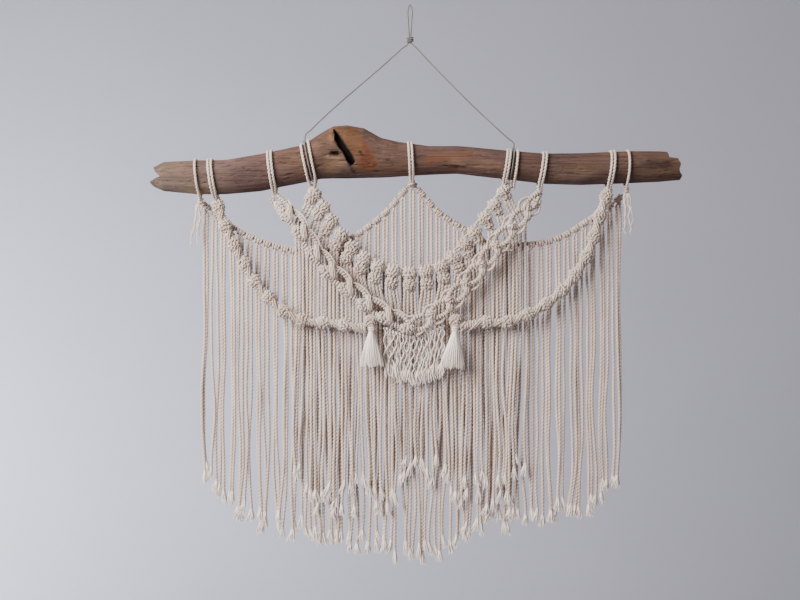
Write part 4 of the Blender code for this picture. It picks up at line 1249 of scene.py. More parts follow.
@dataclass
class LarkHeadFringe(Corded):
    """A carrying cord with a row of lark's heads and their hanging strands."""

    name: str  # name of the plain solid that it takes the place of
    loop: Loops  # the loop that carries it
    line: Array  # line of the carrying cord
    first_x: float  # x of the first strand
    count: int  # number of strands
    seed: int  # seed of the strands' uneven lengths
    tails: tuple[Row, ...] = ()  # loose ends at the top: start offset, x and z of the end

    def on_line(self, x: float) -> Array:
        """The point of the carrying cord at x.

        Args:
            x: the place along the bar.

        Returns:
            The point.
        """
        order = np.argsort(self.line[:, 0])
        xs = self.line[order, 0]
        return vec(x, *(np.interp(x, xs, self.line[order, k]) for k in (1, 2)))

    def head(self, place: Array, ahead: Array, lean: float, shade: float) -> None:
        """Wraps the top of one strand round the carrying cord.

        Args:
            place: the strand's place on the carrying cord.
            ahead: direction of the carrying cord there.
            lean: 1 or -1, the way the wraps lean.
            shade: added to its tone.
        """
        along = unit(ahead) * (1.0 if ahead[0] > 0 else -1.0)
        up = vec(-along[2], 0.0, along[0])
        points = [place + vec(0.0, -HEAD_FRONT, -HEAD_DROP)]
        for turn, share in zip(HEAD_ARC, HEAD_ALONG):
            points.append(place + along * lean * HEAD_TURN * share
                          + vec(0.0, -HEAD_RADIUS * cos(turn), 0.0)
                          + up * HEAD_RADIUS * sin(turn))
        self.cords.rope(smooth_line(points, 0.0016), KNOT_ROPE, shade=shade, hint=RIGHTWARD)

    def strand_x(self, i: int) -> float:
        """The x of a strand, which leans towards the other one of its pair."""
        return self.first_x + PITCH * i + PAIR_SHIFT * (1 if i % 2 == 0 else -1)

    def tie(self) -> None:
        """Ties the top of every strand to the carrying cord."""
        uneven = Random(self.seed + 40)
        for i in range(self.count):
            x = self.strand_x(i)
            place = self.on_line(x)
            ahead = self.on_line(x + 0.002) - self.on_line(x - 0.002)
            self.head(place, ahead, 1.0 if i % 2 else -1.0, uneven.uniform(-0.06, 0.06))

    def hang(self) -> None:
        """Hangs the strands."""
        uneven = Random(self.seed)
        for i, bunching in enumerate(bunched(self.count, PITCH, self.seed)):
            x = self.strand_x(i)
            z_hem = table_at(BACK_HEM, x) + uneven.uniform(-HEM_UNEVEN, BACK_RAGGED)
            start = self.on_line(x) + vec(0.0, -HEAD_FRONT, -HEAD_DROP + 0.001)
            HangingStrand(start, x, BACK_Y, z_hem, i, bunching).lay(self.cords, self.tufts)

    def build(self) -> Item:
        """Builds the fringe in place of its plain solid and returns it."""
        self.cords.rope(spaced(self.line, STEP), CARRIER)
        self.loop.value.hang(self.cords)
        for dx, x, z in self.tails:
            crinkled_tail(self.cords, self.loop.value.root + vec(dx, -0.001, -0.001), x, z)
        self.tie()
        self.hang()
        self.tufts.build(f"{self.name}_tufts", LOOSE_COTTON)
        # The fringes behind the collar take the darker cotton: painted shade.
        return self.cords.build(f"{self.name}_cord", BACK_COTTON_SHADED, self.name)


TAIL_YARNS = 2  # thin ends side by side in one tail
TAIL_REACH = 0.0016  # how far the two part
TAIL_BEND = 0.0034  # how far a tail bends,
TAIL_CRINKLE = 0.0022  # how far it crinkles sideways
TAIL_DEEP = 0.0016  # and in depth
TAIL_RADIUS = 0.00105  # at its start


def crinkled_tail(buffer: MeshBuffer, root: Array, x_end: float, z_end: float) -> None:
    """Lays thin loose ends that keep the crinkle of a knot.

    Args:
        buffer: where the yarns go.
        root: where they start.
        x_end: x of their ends.
        z_end: height of their ends.
    """
    for k in range(TAIL_YARNS):
        seed = 7.0 * k + 900 * root[0]
        share = np.linspace(0.0, 1.0, 40)
        drop = 1.0 - 0.16 * k
        end = vec(x_end, root[1], root[2] + (z_end - root[2]) * drop)
        line = root + (end - root) * share[:, None]
        free = np.minimum(1.0, share * 5)
        for i, part in enumerate(share):
            bend, crinkle = waver(seed, part * 4.2, 1.0), waver(seed, part * 13.0, 5.0)
            line[i, 0] += (TAIL_BEND * bend + TAIL_CRINKLE * crinkle
                           + (k - 0.5) * TAIL_REACH) * free[i]
            line[i, 1] += TAIL_DEEP * waver(seed, part * 9.0, 9.0) * free[i]
        buffer.yarn(line, TAIL_RADIUS - 0.0003 * share, sides=6, tone=0.8 - 0.25 * k)


# ---- lumps of knots ----
GRAIN = 0.0036  # size of one crossing of cords on a lump
GRAIN_HALF = 0.0024  # half its length
GRAIN_ENDS = np.array((-1.0, -0.55, 0.0, 0.55, 1.0))
GRAIN_TAPER = np.array((0.7, 0.95, 1.05, 0.95, 0.7))
GRAIN_RISE = 0.0008 - 0.0017 * GRAIN_ENDS ** 2  # a grain dips in at both ends
CORE = 0.84  # size of the core, as a share of the lump's
GRAIN_BED = 0.9  # depth at which the grains lie, likewise


@dataclass(frozen=True)
class KnotLump:
    """A round lump of tight knots, grain beside grain over a core."""

    centre: Array  # its middle
    down: Array  # unit direction of its length
    half_width: float  # half its width
    half_length: float  # half its length
    half_depth: float  # half its depth
    seed: int  # seed of its unevenness
    shade: float = 0.0  # added to its tone

    def tie(self, buffer: MeshBuffer) -> None:
        """Ties the lump's core and its grains.

        Args:
            buffer: where the cords go.
        """
        ahead = unit(self.down)
        across = unit(np.cross(ahead, FORWARD))
        axes = np.stack((across, np.cross(across, ahead), ahead))
        sizes = vec(self.half_width, self.half_depth, self.half_length)

        def on_ball(around: Size, along: float) -> Array:
            """A point of the round ball that the lump is stretched from.

            Args:
                around: angle round the lump.
                along: angle from its lower end.

            Returns:
                The point.
            """
            girth = sin(along)
            return np.stack((girth * np.cos(around), girth * np.sin(around),
                             np.full(np.shape(around), cos(along))), axis=-1)

        turns = np.arange(10) * pi / 5
        core = np.array([on_ball(turns, pi * (i + 0.3) / 7.6) for i in range(8)])
        # The core is dark: painted shade between the grains.
        buffer.rings(self.centre + core * sizes * CORE @ axes, np.full((8, 10), SHADED_CORE_TONE))
        uneven = Random(self.seed)
        arc = pi * hypot(self.half_length, self.half_depth) / sqrt(2)
        girth = 2 * pi * hypot(self.half_width, self.half_depth) / sqrt(2)
        rows = max(3, round(arc / GRAIN))
        for row in range(rows):
            along = pi * (row + 0.5) / rows
            count = max(3, round(girth * sin(along) / GRAIN))
            for k in range(count):
                around = 2 * pi * (k + 0.5 * (row % 2) + uneven.uniform(-0.16, 0.16)) / count
                ball = on_ball(around, along + uneven.uniform(-0.1, 0.1))
                out = unit(ball / sizes)
                level = unit(np.cross((0.0, 0.0, 1.0), out))
                slant = radians(uneven.uniform(20, 75)) * uneven.choice((-1, 1))
                along_grain = level * cos(slant) + np.cross(out, level) * sin(slant)
                grain = (ball * sizes * GRAIN_BED
                         + GRAIN_ENDS[:, None] * GRAIN_HALF * along_grain
                         + GRAIN_RISE[:, None] * out)
                buffer.rope(self.centre + grain @ axes,
                            GRAIN_TAPER * KNOT_ROPE * uneven.uniform(0.92, 1.12), lay=TIGHT_LAY,
                            phase=uneven.uniform(0.0, 2.0),
                            shade=self.shade + uneven.uniform(-0.14, 0.04), hint=(0.3, 0.6, 1.0))


# ---- collar ----
# Lumps of a tab: middle below its top, half width, half length, half depth, shade; the lower
# lump's darker shade is painted shade under the upper lump
UPPER_LUMP = (0.0102, 0.0084, 0.007, 0.006, 0.03)
LOWER_LUMP = (0.0228, 0.0076, 0.0078, 0.0044, -0.08)
DRAWN_BACK = (0.003, 0.0022, 0.0014, 0.001, 0.14)  # less than that behind the garland, where the lower tone is deeper painted shade
HIDDEN_TABS = (10.5, 13.0)  # from the first tab on to the second the lower lump draws back and its painted shade deepens
LUMP_FRONT = -0.0004  # depth of the lumps' middle
FOLD = 0.0045  # from a tab's top down to the holding cord; distance of its legs
WRAP_ARC = np.radians(-40 + 260 * np.arange(9) / 8)  # of a leg over the holding cord
WRAP_SIZE = (0.003, 0.0029)  # half depth and half height of that wrap
WRAP_END = (0.0026, 0.0088)  # depth and fall at which a wrap ends
WRAP_ROPE = 0.0016  # radius of its cord


@dataclass
class SquareKnotTab:
    """A short bar of square knots under the collar's holding cord."""

    centre: Array  # its middle
    down: Array  # unit direction down it
    length: float  # its length
    number: int  # its place in the collar

    @property
    def across(self) -> Array:
        """Unit direction across it, towards the right."""
        return vec(-self.down[2], 0.0, self.down[0])

    def place(self, d: float, y: float, fall: float) -> Array:
        """A point of the tab: d right of its middle, y behind it and fall below its top."""
        return (self.centre + self.across * d + vec(0.0, y, 0.0)
                + self.down * (fall - self.length / 2))

    def tie(self, buffer: MeshBuffer) -> None:
        """Ties the tab: three wraps over the holding cord and two lumps of knots.

        Args:
            buffer: where the cords go.
        """
        size = self.length / TAB_LENGTH
        hidden = ease(*HIDDEN_TABS, self.number)
        # The lower lump gets painted shade, deeper behind the garland.
        lower = [full - less * hidden for full, less in zip(LOWER_LUMP, DRAWN_BACK)]
        for middle, half_width, half_length, half_depth, shade in (UPPER_LUMP, lower):
            KnotLump(self.place(0.0, LUMP_FRONT, middle * size), self.down, half_width,
                     half_length * size, half_depth, self.number * 7 + round(middle * 1e4),
                     shade).tie(buffer)
        for d in (-FOLD, 0.0, FOLD):
            self.wrap(buffer, d)

    def wrap(self, buffer: MeshBuffer, d: float) -> None:
        """Wraps one leg of the tab's cord over the holding cord.

        Args:
            buffer: where the cord goes.
            d: distance of the leg to the right of the tab's middle line.
        """
        deep, fall = WRAP_END
        points = [self.place(d, -WRAP_SIZE[0] * cos(angle),
                             FOLD - WRAP_SIZE[1] * sin(angle)) for angle in WRAP_ARC]
        points = [self.place(d * 0.9, -deep, fall), *points, self.place(d * 0.9, deep, fall)]
        buffer.rope(smooth_line(points, 0.0013), WRAP_ROPE, lay=0.009, hint=RIGHTWARD)


@dataclass
class Collar(Corded):
    """The U-shaped collar: a holding cord, its square-knot tabs and their strands."""

    seed: int = 11  # seed of the strands' bunches and uneven lengths
    holding: float = CORD / 2 - 0.0001  # radius of the holding cord
    left_knot: float = 0.011  # length of the lying knot under the left loop
    right_knot: float = 0.018  # length of the one under the two right loops
    right_shift: float = 0.005  # how far that one lies to the right of its first loop
    turn_in: float = 0.032  # height in which a strand turns plumb

    def tabs(self) -> list[SquareKnotTab]:
        """The tabs from left to right.

        Returns:
            The tabs.
        """
        line = flat_line(COLLAR, COLLAR_Y, 0.001)
        tabs = []
        for i in range(TABS):
            share = i / (TABS - 1)
            at = round(share * (len(line) - 1))
            ahead = line[min(at + 4, len(line) - 1)] - line[max(at - 4, 0)]
            lean = atan2(ahead[2], ahead[0]) * TAB_LEAN
            down = vec(sin(lean), 0.0, -cos(lean))
            length = TAB_LENGTH * (1 - (1 - TAB_SHORT) * abs(2 * share - 1) ** 6)
            tabs.append(SquareKnotTab(line[at], down, length, i))
        return tabs

    def hang(self, tabs: list[SquareKnotTab]) -> None:
        """Hangs three or four strands from each tab, as a piece of their own.

        Args:
            tabs: the tabs.
        """
        counts = [3 if i < END_TABS or i >= TABS - END_TABS else 4 for i in range(TABS)]
        uneven, strands, placed = Random(self.seed), MeshBuffer(), 0
        pitch = 2 * COLLAR_EDGE / (sum(counts) - 1)
        places = bunched(sum(counts), pitch, self.seed)
        for tab, count in zip(tabs, counts):
            for k in range(count):
                start = tab.place((k - (count - 1) / 2) * TAB_CORD_PITCH, 0.0, tab.length - 0.004)
                x = -COLLAR_EDGE + pitch * placed
                z_hem = table_at(COLLAR_HEM, x) + uneven.uniform(-COLLAR_UNEVEN, COLLAR_RAGGED)
                HangingStrand(start, x, COLLAR_STRAND_Y, z_hem, placed, places[placed],
                              self.turn_in).lay(strands, self.tufts)
                placed += 1
        self.tufts.build("collar_tufts", LOOSE_COTTON)
        strands.build("collar_strands", COTTON)

    def build(self) -> Item:
        """Builds the collar in place of its plain solid and returns it."""
        tabs = self.tabs()
        folds = [tab.place(0.0, 0.0, FOLD) for tab in tabs]
        left, right = Loops.LEFT_COLLAR.value, Loops.RIGHT_COLLAR_INNER.value
        self.cords.rope(smooth_line([left.root, *folds, right.root], STEP), self.holding)
        for loop in (left, right, Loops.RIGHT_COLLAR_OUTER.value):
            loop.lay(self.cords)
        left.bind(self.cords, self.left_knot)
        right.bind(self.cords, self.right_knot, self.right_shift)
        for tab in tabs:
            tab.tie(self.cords)
        self.hang(tabs)
        return self.cords.build("collar_knots", COTTON, "collar")


# ---- lattice garland ----
# Rows of a float: place along it, depth, and how wide its cords lie there
FLOAT_ROWS = ((-1.0, 0.0012, 0.6), (-0.72, -0.0026, 0.95), (-0.25, -0.0042, 1.0),
              (0.25, -0.0042, 1.0), (0.72, -0.0026, 0.95), (1.0, 0.0012, 0.6))
FLOAT_ROPE = 0.0019  # radius of a float's cord in its middle
FLOAT_PITCH = 0.002  # distance between its cords


@dataclass
class LatticeGarland(Corded):
    """The garland of two crossing hitched bars with floats between them and picots beside them.

    A pair of sizes across the garland is the size at a knot, and how much larger it is halfway
    to the next one.
    """

    step: float = 0.001  # distance between two points of its middle line
    winding: float = 0.0025  # radius of the hitches' middle line
    hitch: float = 0.00165  # radius of the hitches' cord
    pitch: float = 0.0037  # distance between two hitches
    core: float = 0.0016  # radius of the bars' filling
    crossing: float = 0.0016  # how far one bar passes before the other
    outer_run: float = 0.005  # how far outside the middle line the outer bar of the left half runs
    inner_arch: Row = (0.003, 0.0056)  # how far inside it the inner bar of the left half arches
    right_arch: Row = (0.0012, 0.0068)  # how far both bars arch on the right half
    # How much slimmer the hitches are: left outer, left inner, right half
    slim: Row = (0.0002, 0.0011, 0.0004)
    # Half width, half length and half depth of a knot of the left half
    left_knot: Row = (0.0062, 0.01, 0.0046)
    right_knot: Row = (0.0056, 0.0046, 0.0044)  # the same for the right half
    end_knot: Row = (0.0046, 0.0086, 0.0042)  # the same for the two end knots
    # A left knot's place from the middle line: outwards, back along it, in depth
    left_place: Row = (0.0042, 0.002, -0.0006)
    right_place: Row = (0.0008, -0.001)  # the same for a right knot: inwards and in depth
    # How far from the garland's ends the end knots lie, and how far outwards
    ends: Row = (0.55, 0.0036)
    left_float: float = 0.0102  # half length of a float of the left half
    right_float: float = 0.0056  # the same for the right half
    float_place: Row = (0.0022, -0.0016, 0.0004)  # a left float's place from its knot
    float_out: float = 0.0052  # how far outwards a right float lies
    picot: float = 0.0016  # radius of a picot's cord
    left_picot: Row = (0.0076, 0.0044)  # how far the picots of the left half arch
    eye: Row = (0.007, 0.0052)  # the same for the eyes on the inner edge of the right half
    slit: Row = (0.0074, 0.0054)  # the same for the slits on its outer edge

    def __post_init__(self) -> None:
        """Draws the middle line and the directions across it."""
        self.line = smooth_line(LATTICE, self.step)
        ahead = unit(np.gradient(self.line, axis=0))
        self.out = unit(np.stack((ahead[:, 2], np.zeros(len(ahead)), -ahead[:, 0]), axis=1))
        self.share = np.linspace(0.0, LATTICE_REPEATS, len(self.line))
        self.opening = np.abs(np.sin(pi * self.share)) ** 0.75
        self.opening *= ease_all(-0.6, 1.6, np.minimum(self.share, LATTICE_REPEATS - self.share))
        self.left = 1.0 - ease_all(-0.6, 0.6, self.share - LATTICE_REPEATS / 2)

    def at(self, knot: float) -> int:
        """The number of the middle line's point at a knot, or at a share of the way to it."""
        return int(np.searchsorted(self.share, knot))

    def ahead(self, at: int) -> Array:
        """The direction of the middle line at one of its points."""
        return self.line[at + 8] - self.line[at - 8]

    def offset(self, across: Array, deep: Array) -> Array:
        """The middle line moved across the garland and in depth."""
        depth = np.stack((np.zeros(len(deep)), deep, np.zeros(len(deep))), axis=1)
        return self.line + self.out * across[:, None] + depth

    def bars(self) -> None:
        """Ties the two hitched bars, which meet at every knot of the right half.

        On the left half the outer bar runs straight and the inner one, slim, arches.
        """
        deep = self.crossing * np.cos(pi * self.share)
        right = self.right_arch[0] + self.right_arch[1] * self.opening
        inner = self.inner_arch[0] + self.inner_arch[1] * self.opening
        for side, left, slim in ((1.0, self.outer_run, self.slim[0]), (-1.0, inner, self.slim[1])):
            across = left * self.left + right * (1 - self.left)
            radius = self.winding - (self.left * slim + self.slim[2] * (1 - self.left))
            line = self.offset(across * side, deep * side)
            # Dark filling: painted shade between the hitches.
            self.cords.yarn(spaced(line, 0.003), self.core, sides=7, tone=SHADED_CORE_TONE)
            turn = wound(line, self.pitch * side, radius, radius, steps=11)
            self.cords.rope(turn, self.hitch, lay=TIGHT_LAY, hint=ASLANT)

    def knots(self) -> None:
        """Ties a lump and lays a smooth upright float at every knot.

        On the left half the lump lies left of a long float. On the right half it lies on the
        inner side of a short one.
        """
        half = LATTICE_REPEATS // 2
        for knot in range(1, LATTICE_REPEATS):
            at = self.at(knot)
            line, out = self.line[at], self.out[at]
            if knot <= half:
                ahead, (outwards, back, deep) = self.ahead(at), self.left_place
                middle = line + out * outwards - unit(ahead) * back + vec(0.0, deep, 0.0)
                lump = KnotLump(middle, ahead, *self.left_knot, knot * 13)
                if knot < half:
                    self.float_cords(line + vec(*self.float_place), self.left_float)
            else:
                inwards, deep = self.right_place
                middle = line - out * inwards + vec(0.0, deep, 0.0)
                lump = KnotLump(middle, vec(-0.6, 0.0, -0.8), *self.right_knot, knot * 13)
                beside = self.at(knot - 0.2)
                self.float_cords(self.line[beside] + self.out[beside] * self.float_out,
                                 self.right_float)
            lump.tie(self.cords)
        inside, outwards = self.ends
        for share in (inside, LATTICE_REPEATS - inside):
            at = self.at(share)
            KnotLump(self.line[at] + self.out[at] * outwards, self.ahead(at), *self.end_knot,
                     round(share * 10)).tie(self.cords)

    def float_cords(self, middle: Array, reach: float) -> None:
        """Lays one float of three unknotted cords side by side.

        Args:
            middle: its middle.
            reach: half its length.
        """
        for k in (-1.0, 0.0, 1.0):
            points = [middle + vec(k * FLOAT_PITCH * wide - rise * reach * 0.12,
                                   deep + 0.0005 * abs(k), rise * reach)
                      for rise, deep, wide in FLOAT_ROWS]
            line = smooth_line(points, 0.0012)
            share = np.linspace(-1.0, 1.0, len(line))
            self.cords.rope(line, FLOAT_ROPE * (1 - 0.25 * share ** 2), lay=0.03,
                            phase=k * 1.1, shade=-0.08, hint=RIGHTWARD)

    def picots(self) -> None:
        """Lays thin loops along both edges.

        On the inner edge of the left half they arch from float to float. On the outer edge of
        the right half they are long slits beside the knots, and on its inner edge small eyes.
        """
        both = (self.share > 0.5) & (self.share < LATTICE_REPEATS - 0.5)
        right = both & (self.share > LATTICE_REPEATS / 2 + 0.2)
        eye, slit = (np.abs(np.cos(pi * (self.share - ahead))) ** 2 for ahead in (0.1, 0.2))
        for under in (0.0, 1.0):
            depth = np.full(len(self.share), -0.0006 + 0.0018 * under)
            arch = self.left_picot[0] + (self.left_picot[1] - 0.0014 * under) * self.opening
            inward = (arch * self.left
                      + (self.eye[0] + self.eye[1] * eye * (1 - 0.15 * under)) * (1 - self.left))
            outward = self.slit[0] + self.slit[1] * slit * (1 - 0.2 * under)
            for across, part in ((-inward, both), (outward, right)):
                line = spaced(self.offset(across, depth)[part], STEP)
                self.cords.rope(line, self.picot, lay=TIGHT_LAY, phase=under * 2)

    def build(self) -> Item:
        """Builds the garland in place of its plain solid and returns it."""
        self.bars()
        self.knots()
        self.picots()
        for loop in (Loops.LEFT_LATTICE, Loops.RIGHT_LATTICE):
            loop.value.hang(self.cords)
        return self.cords.build("lattice_cord", COTTON, "lattice_garland")


# ---- spiral bars ----
@dataclass
class SpiralBar(Corded):
    """A bar of half knots whose edge winds round it."""

    name: str  # name of the plain solid that it takes the place of
    points: tuple  # its middle line
    loop: Loops  # the loop that carries it
    hand: int  # 1 or -1, the way in which it winds
    step: float = 0.001  # distance between two points of its middle line
    spacing: float = 0.0252  # distance between two lumps
    first: float = 0.4  # place of the first lump, as a share of that distance
    pitch: float = 0.0078  # distance between two turns of the half knots
    section: Row = (0.004, 0.0028)  # half width and half depth of those turns
    knot: float = 0.00175  # radius of their cord
    # Radius of the cords along the winding edge, and how far out they lie
    ridge: Row = (0.0013, 0.005)
    ridge_gap: float = 0.26  # half the angle between two of them
    core: float = 0.0026  # radius of the bar's filling
    lump: Row = (0.0072, 0.0094, 0.0064)  # half width, half length and half depth of a lump
    end_lump: Row = (0.0072, 0.0078, 0.0052)  # the same for the lump over the tassel
    # That lump's place from the bar's end: inwards, back and up
    end_place: Row = (0.0048, 0.0012, 0.009)

    def half_knots(self, line: Array) -> None:
        """Winds the half knots and the ridges of the bar's edge.

        Args:
            line: the bar's middle line.
        """
        side = tuple(unit(np.cross(unit(line[1] - line[0]), BACKWARD)))
        cord, reach = self.ridge
        for k in (0, 1):
            turn = wound(line, self.pitch * self.hand, *self.section, phase=pi * k,
                         half_turn=self.spacing * self.hand, hint=side, steps=15)
            self.cords.rope(turn, self.knot, lay=TIGHT_LAY, hint=ASLANT)
            start = pi * (k - self.first * self.hand)
            for shift in (-self.ridge_gap, self.ridge_gap):
                edge = wound(line, 2 * self.spacing * self.hand, reach, reach,
                             phase=start + shift, hint=side, steps=44)
                self.cords.rope(edge, cord, lay=TIGHT_LAY, phase=shift * 4, hint=ASLANT)
        # Dark filling: painted shade between the half knots.
        self.cords.yarn(spaced(line, 0.003), self.core, sides=7, tone=SHADED_CORE_TONE)

    def lumps(self, line: Array) -> None:
        """Ties the lumps along the bar and the one over its tassel.

        Args:
            line: the bar's middle line.
        """
        for i in range(int((len(line) * self.step - 0.012) / self.spacing)):
            at = round((self.first + i) * self.spacing / self.step)
            ahead = unit(line[min(at + 5, len(line) - 1)] - line[max(at - 5, 0)])
            KnotLump(line[at], ahead, *self.lump, i * 5 + 3).tie(self.cords)
        inwards, back, up = self.end_place
        KnotLump(line[-1] + vec(-inwards * np.sign(line[-1][0]), back, up), vec(0.0, 0.0, -1.0),
                 *self.end_lump, 77).tie(self.cords)

    def build(self) -> Item:
        """Builds the bar in place of its plain solid and returns it."""
        line = smooth_line(self.points, self.step)
        self.half_knots(line)
        self.lumps(line)
        self.loop.value.hang(self.cords)
        return self.cords.build(f"{self.name}_cord", COTTON, self.name)


# ---- tassels and centre fringe ----
@dataclass
class Tassel(Corded):
    """A tassel with a wrapped head and a combed skirt."""

    name: str  # name of the plain solid that it takes the place of
    x: float  # its place
    z_head: float  # height of its head
    z_hem: float  # height of its hem
    lean: float = 0.0  # how far its hem hangs to the right of its head
    yarns: int = 230  # number of yarns in its skirt
    yarn: float = 0.00066  # radius of one of them at the neck
    turn: float = 2.39996  # angle from one yarn to the next
    wraps: float = 4.6  # turns of cord round the head
    wrap: float = 0.00155  # radius of that cord
    ball: float = 0.0034  # radius of the wraps' middle line
    core: float = 0.0029  # radius of the head's filling
    neck: float = 0.003  # half width of the skirt where it starts
    # Half width, half depth, fall and share of the lean of two levels below it
    levels: tuple[Row, Row] = ((0.0066, 0.005, 0.011, 0.2), (0.0112, 0.0068, 0.026, 0.6))

    def head(self) -> None:
        """Wraps the head and the neck."""
        share = np.linspace(0.0, 1.0, 90)
        angle = share * 2 * pi * self.wraps
        fall = TASSEL_HEAD * (1.15 - 2.1 * share)
        radius = self.ball * np.sqrt(np.clip(1 - (1.9 * share - 0.85) ** 2, 0.12, 1.0))
        line = np.stack((self.x + radius * np.cos(angle), TASSEL_Y + radius * np.sin(angle) * 0.9,
                         self.z_head + fall), axis=1)
        self.cords.rope(line, self.wrap, lay=0.01, hint=(0.0, 0.2, 1.0))
        core = np.array(((self.x, TASSEL_Y, self.z_head + 0.005),
                         (self.x, TASSEL_Y, self.z_head - 0.006)))
        # The head's filling is darker: painted shade between the wraps.
        self.cords.yarn(spaced(core, 0.002), self.core, sides=8, tone=0.4)

    def skirt(self) -> None:
        """Hangs the yarns of the skirt."""
        uneven = Random(round(self.x * 1e4))
        neck = vec(self.x, TASSEL_Y, self.z_head - TASSEL_HEAD * 0.6)
        upper, lower = self.levels
        for i in range(self.yarns):
            reach = sqrt((i + 0.5) / self.yarns)
            angle = self.turn * i
            out = vec(cos(angle), sin(angle), 0.0) * reach
            hem = self.z_hem + uneven.uniform(-0.0015, 0.0045) + 0.003 * (1 - reach)
            stray = uneven.uniform(-0.0006, 0.0006)
            points = [neck + out * self.neck,
                      neck + out * vec(*upper[:2], 0.0)
                      + vec(self.lean * upper[3], 0.0, -upper[2]),
                      neck + out * vec(*lower[:2], 0.0)
                      + vec(stray + self.lean * lower[3], 0.0, -lower[2]),
                      vec(self.x + self.lean + out[0] * TASSEL_HALF_WIDTH,
                          TASSEL_Y + out[1] * TASSEL_HALF_DEPTH, hem)]
            line = smooth_line(points, 0.005)
            share = np.linspace(0.0, 1.0, len(line))
            radius = self.yarn * (1 - 0.55 * share ** 3)
            self.cords.yarn(line, radius, tone=uneven.uniform(0.7, 1.0))

    def build(self) -> Item:
        """Builds the tassel in place of its plain solid and returns it."""
        self.head()
        self.skirt()
        return self.cords.build(f"{self.name}_cotton", LOOSE_COTTON, self.name)


@dataclass
class CentreFringe(Corded):
    """The short crinkled fringe between the tassels."""

    seeds: tuple[int, int] = (5, 77)  # seeds of its uneven lengths and of its unevenness
    wave: float = 0.0165  # length of one crinkle
    swing: float = 0.0017  # how far a strand swings in it
    hitch: float = 0.0012  # radius of the bar's cord and of its winding
    pitch: float = 0.0042  # distance between two turns of that
    cord: float = 0.00098  # radius of a strand
    fibres: int = 15  # number of fibres in a brushed tip
    brush: Row = (0.0022, 0.0032, 0.0036)  # half width of the tip at three levels below its start
    taper: Row = (0.0007, 0.0007, 0.0006, 0.0002)  # radius of a fibre from its start to its end

    def build(self) -> Item:
        """Builds the fringe in place of its plain solid and returns it."""
        line = flat_line(CENTRE_BAR, CENTRE_FRINGE_Y, 0.001)
        self.cords.rope(wound(line, self.pitch, self.hitch, self.hitch), self.hitch, lay=0.009)
        uneven, strays = (Random(seed) for seed in self.seeds)
        width = CENTRE_BAR[-1][0] - CENTRE_BAR[0][0]
        for i in range(CENTRE_STRANDS):
            x = CENTRE_BAR[0][0] + width * (i + 0.5) / CENTRE_STRANDS
            top = float(np.interp(x, line[:, 0], line[:, 2]))
            hem = table_at(CENTRE_HEM, x) + uneven.uniform(-0.004, 0.003)
            self.yarn(x, top, hem, i, strays)
        return self.cords.build("centre_cotton", LOOSE_COTTON, "centre_fringe")

    def yarn(self, x: float, top: float, hem: float, number: int, strays: Random) -> None:
        """Hangs one crinkled strand with a brushed tip.

        Args:
            x: its place.
            top: height of its top.
            hem: height of its end.
            number: its place in the row; neighbours bend away from each other.
            strays: source of its unevenness.
        """
        share = np.linspace(0.0, 1.0, 44)
        wave = self.wave * strays.uniform(0.8, 1.25)
        phase = (pi if number % 2 else 0.0) + (number // 2) ** 2 * 2.4
        z = top + (hem + 0.01 - top) * share
        turn = 2 * pi * (top - z) / wave + phase
        swing = self.swing * strays.uniform(0.55, 1.2) * np.minimum(1.0, share * 6)
        line = np.stack((x + swing * np.sin(turn) + strays.uniform(-0.0006, 0.0006),
                         CENTRE_FRINGE_Y + swing * 0.7 * np.cos(turn), z), axis=1)
        self.cords.rope(line, self.cord, lay=0.007, phase=phase)
        lean = strays.uniform(-0.003, 0.003)
        for i in range(self.fibres):
            angle = FIBRE_TURN * i
            out = vec(cos(angle), sin(angle) * 0.8, 0.0) * sqrt((i + 1) / self.fibres)
            length = strays.uniform(0.008, 0.016)
            fall = vec(lean + strays.uniform(-0.001, 0.001), 0.0, -length)
            start = line[-2 - i % 4]
            fibre = [start] + [start + fall * share + out * width
                               for share, width in zip((0.35, 0.7, 1.0), self.brush)]
            self.cords.yarn(np.array(fibre), np.array(self.taper), tone=strays.uniform(0.45, 0.8))


